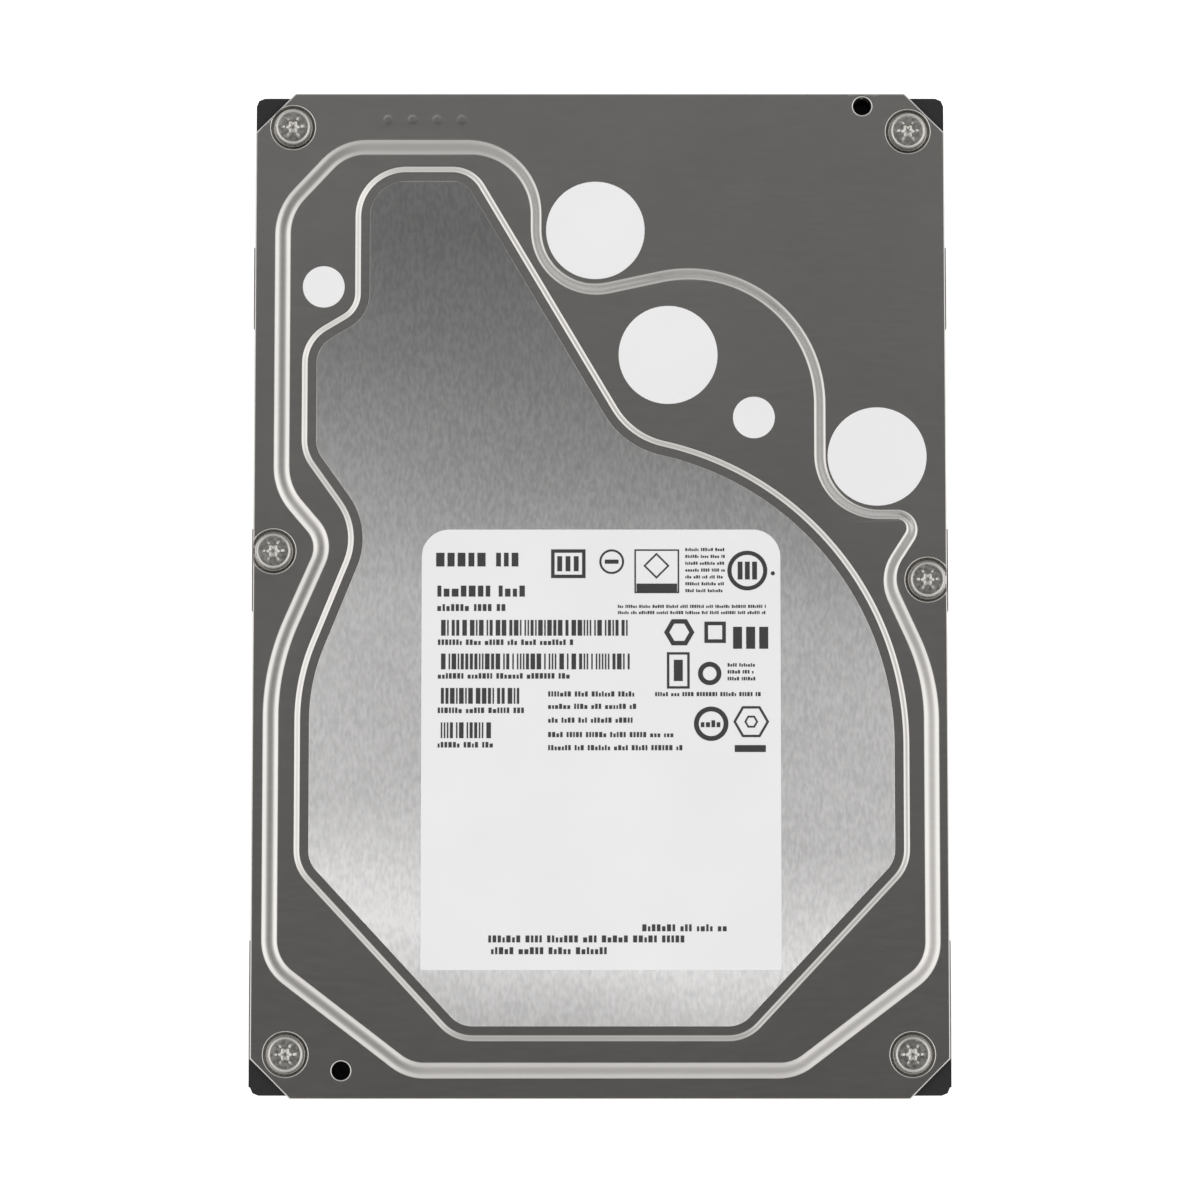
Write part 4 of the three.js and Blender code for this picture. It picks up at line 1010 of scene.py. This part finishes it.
def board_details():
    """Tracks, pads and solder joints on the face of the circuit board that shows from below."""
    low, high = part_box("circuit_board")
    spindle = centre_of("spindle_hub")
    screws = [centre_of(node) for node in sorted(slot_of) if "board_screw" in node]
    face = low.z
    margin, clear_of_arc, clear_of_screw = 2.2 * MM, 32.5 * MM, 5 * MM
    grid = 0.4 * MM

    def free(point):
        across = low.x + margin < point.x < high.x - margin
        along = low.y + margin < point.y < high.y - margin
        return (across and along and (point - spindle).length > clear_of_arc
                and all((point - screw).length > clear_of_screw for screw in screws))

    chance = random.Random(11)
    tracks, pads, joints = Shell(), Shell(), Shell()
    taken = set()

    def cells(line, spread=1):
        """The squares of a fine grid on and next to a line of points."""
        found = set()
        for a, b in zip(line, line[1:]):
            steps = max(1, math.ceil((b - a).length / (0.25 * MM)))
            for k in range(steps + 1):
                at = a.lerp(b, k / steps) / grid
                found |= {(round(at.x) + i, round(at.y) + j)
                          for i in range(-spread, spread + 1) for j in range(-spread, spread + 1)}
        return found

    def pad(shell, at, radius, proud=0.03 * MM, facets=14):
        shell.turned([(0, face - proud), (radius * 0.8, face - proud), (radius, face - proud * 0.6),
                      (radius, face + 0.01 * MM), (0, face + 0.01 * MM)], at, False, facets)

    def spot():
        return Vector((chance.uniform(low.x, high.x), chance.uniform(low.y, high.y)))

    plug_low, plug_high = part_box("sata_connector")
    pitch = 1.27 * MM
    across = int((plug_high.x - plug_low.x - 3 * MM) / pitch)
    for row in range(2):
        for k in range(across):
            at = Vector((plug_low.x + 2 * MM + (k + row / 2) * pitch, plug_low.y + (1.2 + row * 1.6) * MM))
            pad(joints, at, 0.42 * MM, 0.22 * MM)
            taken |= cells([at, at], 3)

    bundles = 0
    for _ in range(1500):
        if bundles == 30:
            break
        start, end = spot(), spot()
        reach = end - start
        if not 10 * MM < reach.length < 40 * MM:
            continue
        slant = min(abs(reach.x), abs(reach.y))
        knee = Vector((start.x + math.copysign(abs(reach.x) - slant, reach.x),
                       start.y + math.copysign(abs(reach.y) - slant, reach.y)))
        if (knee - start).length < 2 * MM or (end - knee).length < 2 * MM:
            continue
        aside = Vector((-(end - knee).y, (end - knee).x)).normalized() * 0.6 * MM
        bundle = [[p + aside * k for p in (start, knee, end)] for k in range(chance.randint(3, 7))]
        squares = set().union(*(cells(line) for line in bundle))
        if squares & taken or not all(free(Vector(square) * grid) for square in squares):
            continue
        bundles += 1
        taken |= set().union(*(cells(line, 3) for line in bundle))
        for line in bundle:
            ribbon(tracks, [line[0].lerp(line[1], 0.02), line[1], line[2].lerp(line[1], 0.02)],
                   0.22 * MM, face - 0.02 * MM, face + 0.01 * MM)
            pad(pads, line[0], 0.24 * MM)
            pad(pads, line[-1], 0.24 * MM)

    for _ in range(1500):
        at = spot()
        if free(at) and not cells([at, at]) & taken:
            radius = chance.choice((0.3, 0.3, 0.45, 0.75)) * MM
            if not cells([at, at], 2) & taken:
                taken |= cells([at, at], 5)
                pad(pads, at, radius)

    for k in range(4):
        pad(joints, spindle + Vector(((k - 1.5) * 2.2 * MM, 33.8 * MM)), 0.8 * MM, 0.12 * MM, 24)
    for screw in screws:
        pads.turned([(1.6 * MM, face - 0.02 * MM), (3.1 * MM, face - 0.02 * MM), (3.1 * MM, face + 0.01 * MM),
                     (1.6 * MM, face + 0.01 * MM)], screw, True, 48)
    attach(tracks.piece("board_tracks", trace_green.material, flat=True), "chassis")
    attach(pads.piece("board_pads", contact_gold.material, flat=True), "chassis")
    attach(joints.piece("board_solder_joints", solder.material), "chassis")


def connector_contacts():
    """Gold fingers on the two tongues of the edge connector: 15 for power and 7 for data."""
    low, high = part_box("sata_connector")
    tongue_top = low.z + 1.88 * MM
    pitch, half_width = 1.27 * MM, 0.38 * MM
    strips = Shell()
    for start, count in ((low.x + 3.6 * MM, 15), (high.x - 11.2 * MM, 7)):
        for x in (start + k * pitch for k in range(count)):
            strips.box((x - half_width, high.y - 4.6 * MM, tongue_top - 0.02 * MM),
                       (x + half_width, high.y - 0.9 * MM, tongue_top + 0.07 * MM))
    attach(strips.piece("connector_contacts", contact_gold.material, flat=True), "chassis")


board_details()
connector_contacts()


# ---------------------------------------------------------------- CAD nodes that stay, with worn-in edges

def kept(node, edge):
    """The CAD node with its own finish and, where it has an edge radius, that rounding."""
    thing = frame["nodes"][node]
    thing.data.materials.clear()
    thing.data.materials.append(material_of(node))
    if edge:
        weld = thing.modifiers.new("joined_corners", "WELD")
        weld.merge_threshold = 1e-3 * MM
        bevel = thing.modifiers.new("soft_edges", "BEVEL")
        bevel.width = edge
        bevel.segments = 2
        bevel.limit_method = "ANGLE"
        bevel.angle_limit = math.radians(35)
        bevel.harden_normals = False
        bevel.use_clamp_overlap = True


standing_in = {name for thing in bpy.data.objects for name in thing.get("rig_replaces", [])}
edge_of = {"base_casting": 0.18 * MM, "sata_connector": 0.08 * MM, "arm_block": 0.1 * MM,
           "load_ramp": 0.12 * MM, "vcm_bottom_yoke": 0.12 * MM, "cover_gasket": 0.05 * MM}
for node in sorted(slot_of):
    if node not in standing_in:
        kept(node, edge_of.get(node, 0))


# ---------------------------------------------------------------- studio

def studio_light():
    """A dark card over the object, a bright surround, and a dimmer horizon. The camera sees plain white."""
    world = bpy.data.worlds.new("studio")
    bpy.context.scene.world = world
    world.use_nodes = True
    tree = world.node_tree
    tree.nodes.clear()

    def node(kind, **settings):
        return new_node(tree, kind, **settings)

    def math_node(operation, a, b=None):
        made = node("ShaderNodeMath", operation=operation)
        for socket, value in zip(made.inputs, (a, b)):
            if isinstance(value, (int, float)):
                socket.default_value = value
            elif value is not None:
                tree.links.new(value, socket)
        return made.outputs[0]

    def ramp(value, *stops):
        """A grey level that follows the value, an angle from 0 to 90 degrees."""
        made = node("ShaderNodeValToRGB")
        tree.links.new(math_node("DIVIDE", value, 90.0), made.inputs[0])
        return set_stops(made, stops, 0, 90)

    def times(a, b):
        return math_node("MULTIPLY", a, b)

    def plus(a, b):
        return math_node("ADD", a, b)

    where = node("ShaderNodeTexCoord").outputs["Generated"]
    parts = node("ShaderNodeSeparateXYZ")
    tree.links.new(where, parts.inputs[0])
    x, y = parts.outputs[0], parts.outputs[1]
    toward = node("ShaderNodeVectorMath", operation="DOT_PRODUCT")
    tree.links.new(where, toward.inputs[0])
    toward.inputs[1].default_value = Vector((0.03, 0.06, 1.0)).normalized()
    off_card = times(math_node("ARCCOSINE", toward.outputs["Value"]), 180 / math.pi)
    beyond = ramp(off_card, (0, 0), (19, 0), (27, 1), (90, 1))
    low_down = ramp(off_card, (0, 0), (58, 0), (74, 1), (90, 1))
    card = plus(times(y, 0.38), 0.125)
    flat = plus(plus(times(x, x), times(y, y)), 1e-4)
    side = math_node("DIVIDE", times(x, x), flat)
    left = math_node("MAXIMUM", times(x, -1.0), 0.0)
    ring = plus(plus(times(side, 0.75), 0.9), times(y, -0.15))
    horizon = math_node("MAXIMUM", plus(0.62, times(left, -0.35)), 0.2)
    surround = plus(times(ring, plus(1.0, times(low_down, -1.0))), times(horizon, low_down))
    level = plus(times(card, plus(1.0, times(beyond, -1.0))), times(surround, beyond))
    soft = node("ShaderNodeBackground")
    soft.inputs["Color"].default_value = (1.0, 0.988, 0.972, 1)
    tree.links.new(level, soft.inputs["Strength"])
    pale = node("ShaderNodeBackground")
    pale.inputs["Color"].default_value = (1, 1, 1, 1)
    pale.inputs["Strength"].default_value = 1.0
    seen = node("ShaderNodeLightPath").outputs["Is Camera Ray"]
    mixed = node("ShaderNodeMixShader")
    tree.links.new(seen, mixed.inputs[0])
    tree.links.new(soft.outputs[0], mixed.inputs[1])
    tree.links.new(pale.outputs[0], mixed.inputs[2])
    out = node("ShaderNodeOutputWorld")
    tree.links.new(mixed.outputs[0], out.inputs["Surface"])


def pale_floor():
    """A wide plain floor just under the object, with a faint glow of its own so that it stays pale."""
    floor_finish = moulded("floor", (0.95, 0.95, 0.95), 0.8, cells=200, depth=0.05 * MM, swing=0.01)
    floor_finish.shader.inputs["Emission Color"].default_value = (1, 1, 1, 1)
    floor_finish.shader.inputs["Emission Strength"].default_value = 0.55
    reach = 3.0
    square = [Vector((x, y)) * reach for x, y in ((-1, -1), (1, -1), (1, 1), (-1, 1))]
    shell = Shell()
    shell.faces.append(tuple(shell.ring(square, -0.1 * MM)))
    floor = shell.piece("floor", floor_finish.material, flat=True)


def camera():
    """A long lens almost straight above the drive, leaning a little towards its plain end."""
    low, high = cad_bounds
    aim = Vector(((low.x + high.x) / 2, (low.y + high.y) / 2 - 1.4 * MM, high.z))
    tilt = math.radians(5.7)
    distance = 0.717
    data = bpy.data.cameras.new("camera")
    data.sensor_width = 36
    data.lens = 148.2
    data.clip_start = 0.01
    data.clip_end = 20
    thing = bpy.data.objects.new("camera", data)
    bpy.context.scene.collection.objects.link(thing)
    thing.location = aim + Vector((0, -math.sin(tilt), math.cos(tilt))) * distance
    thing.rotation_euler = (tilt, 0, 0)
    bpy.context.scene.camera = thing


studio_light()
pale_floor()
camera()
bpy.context.scene.view_settings.view_transform = "Standard"
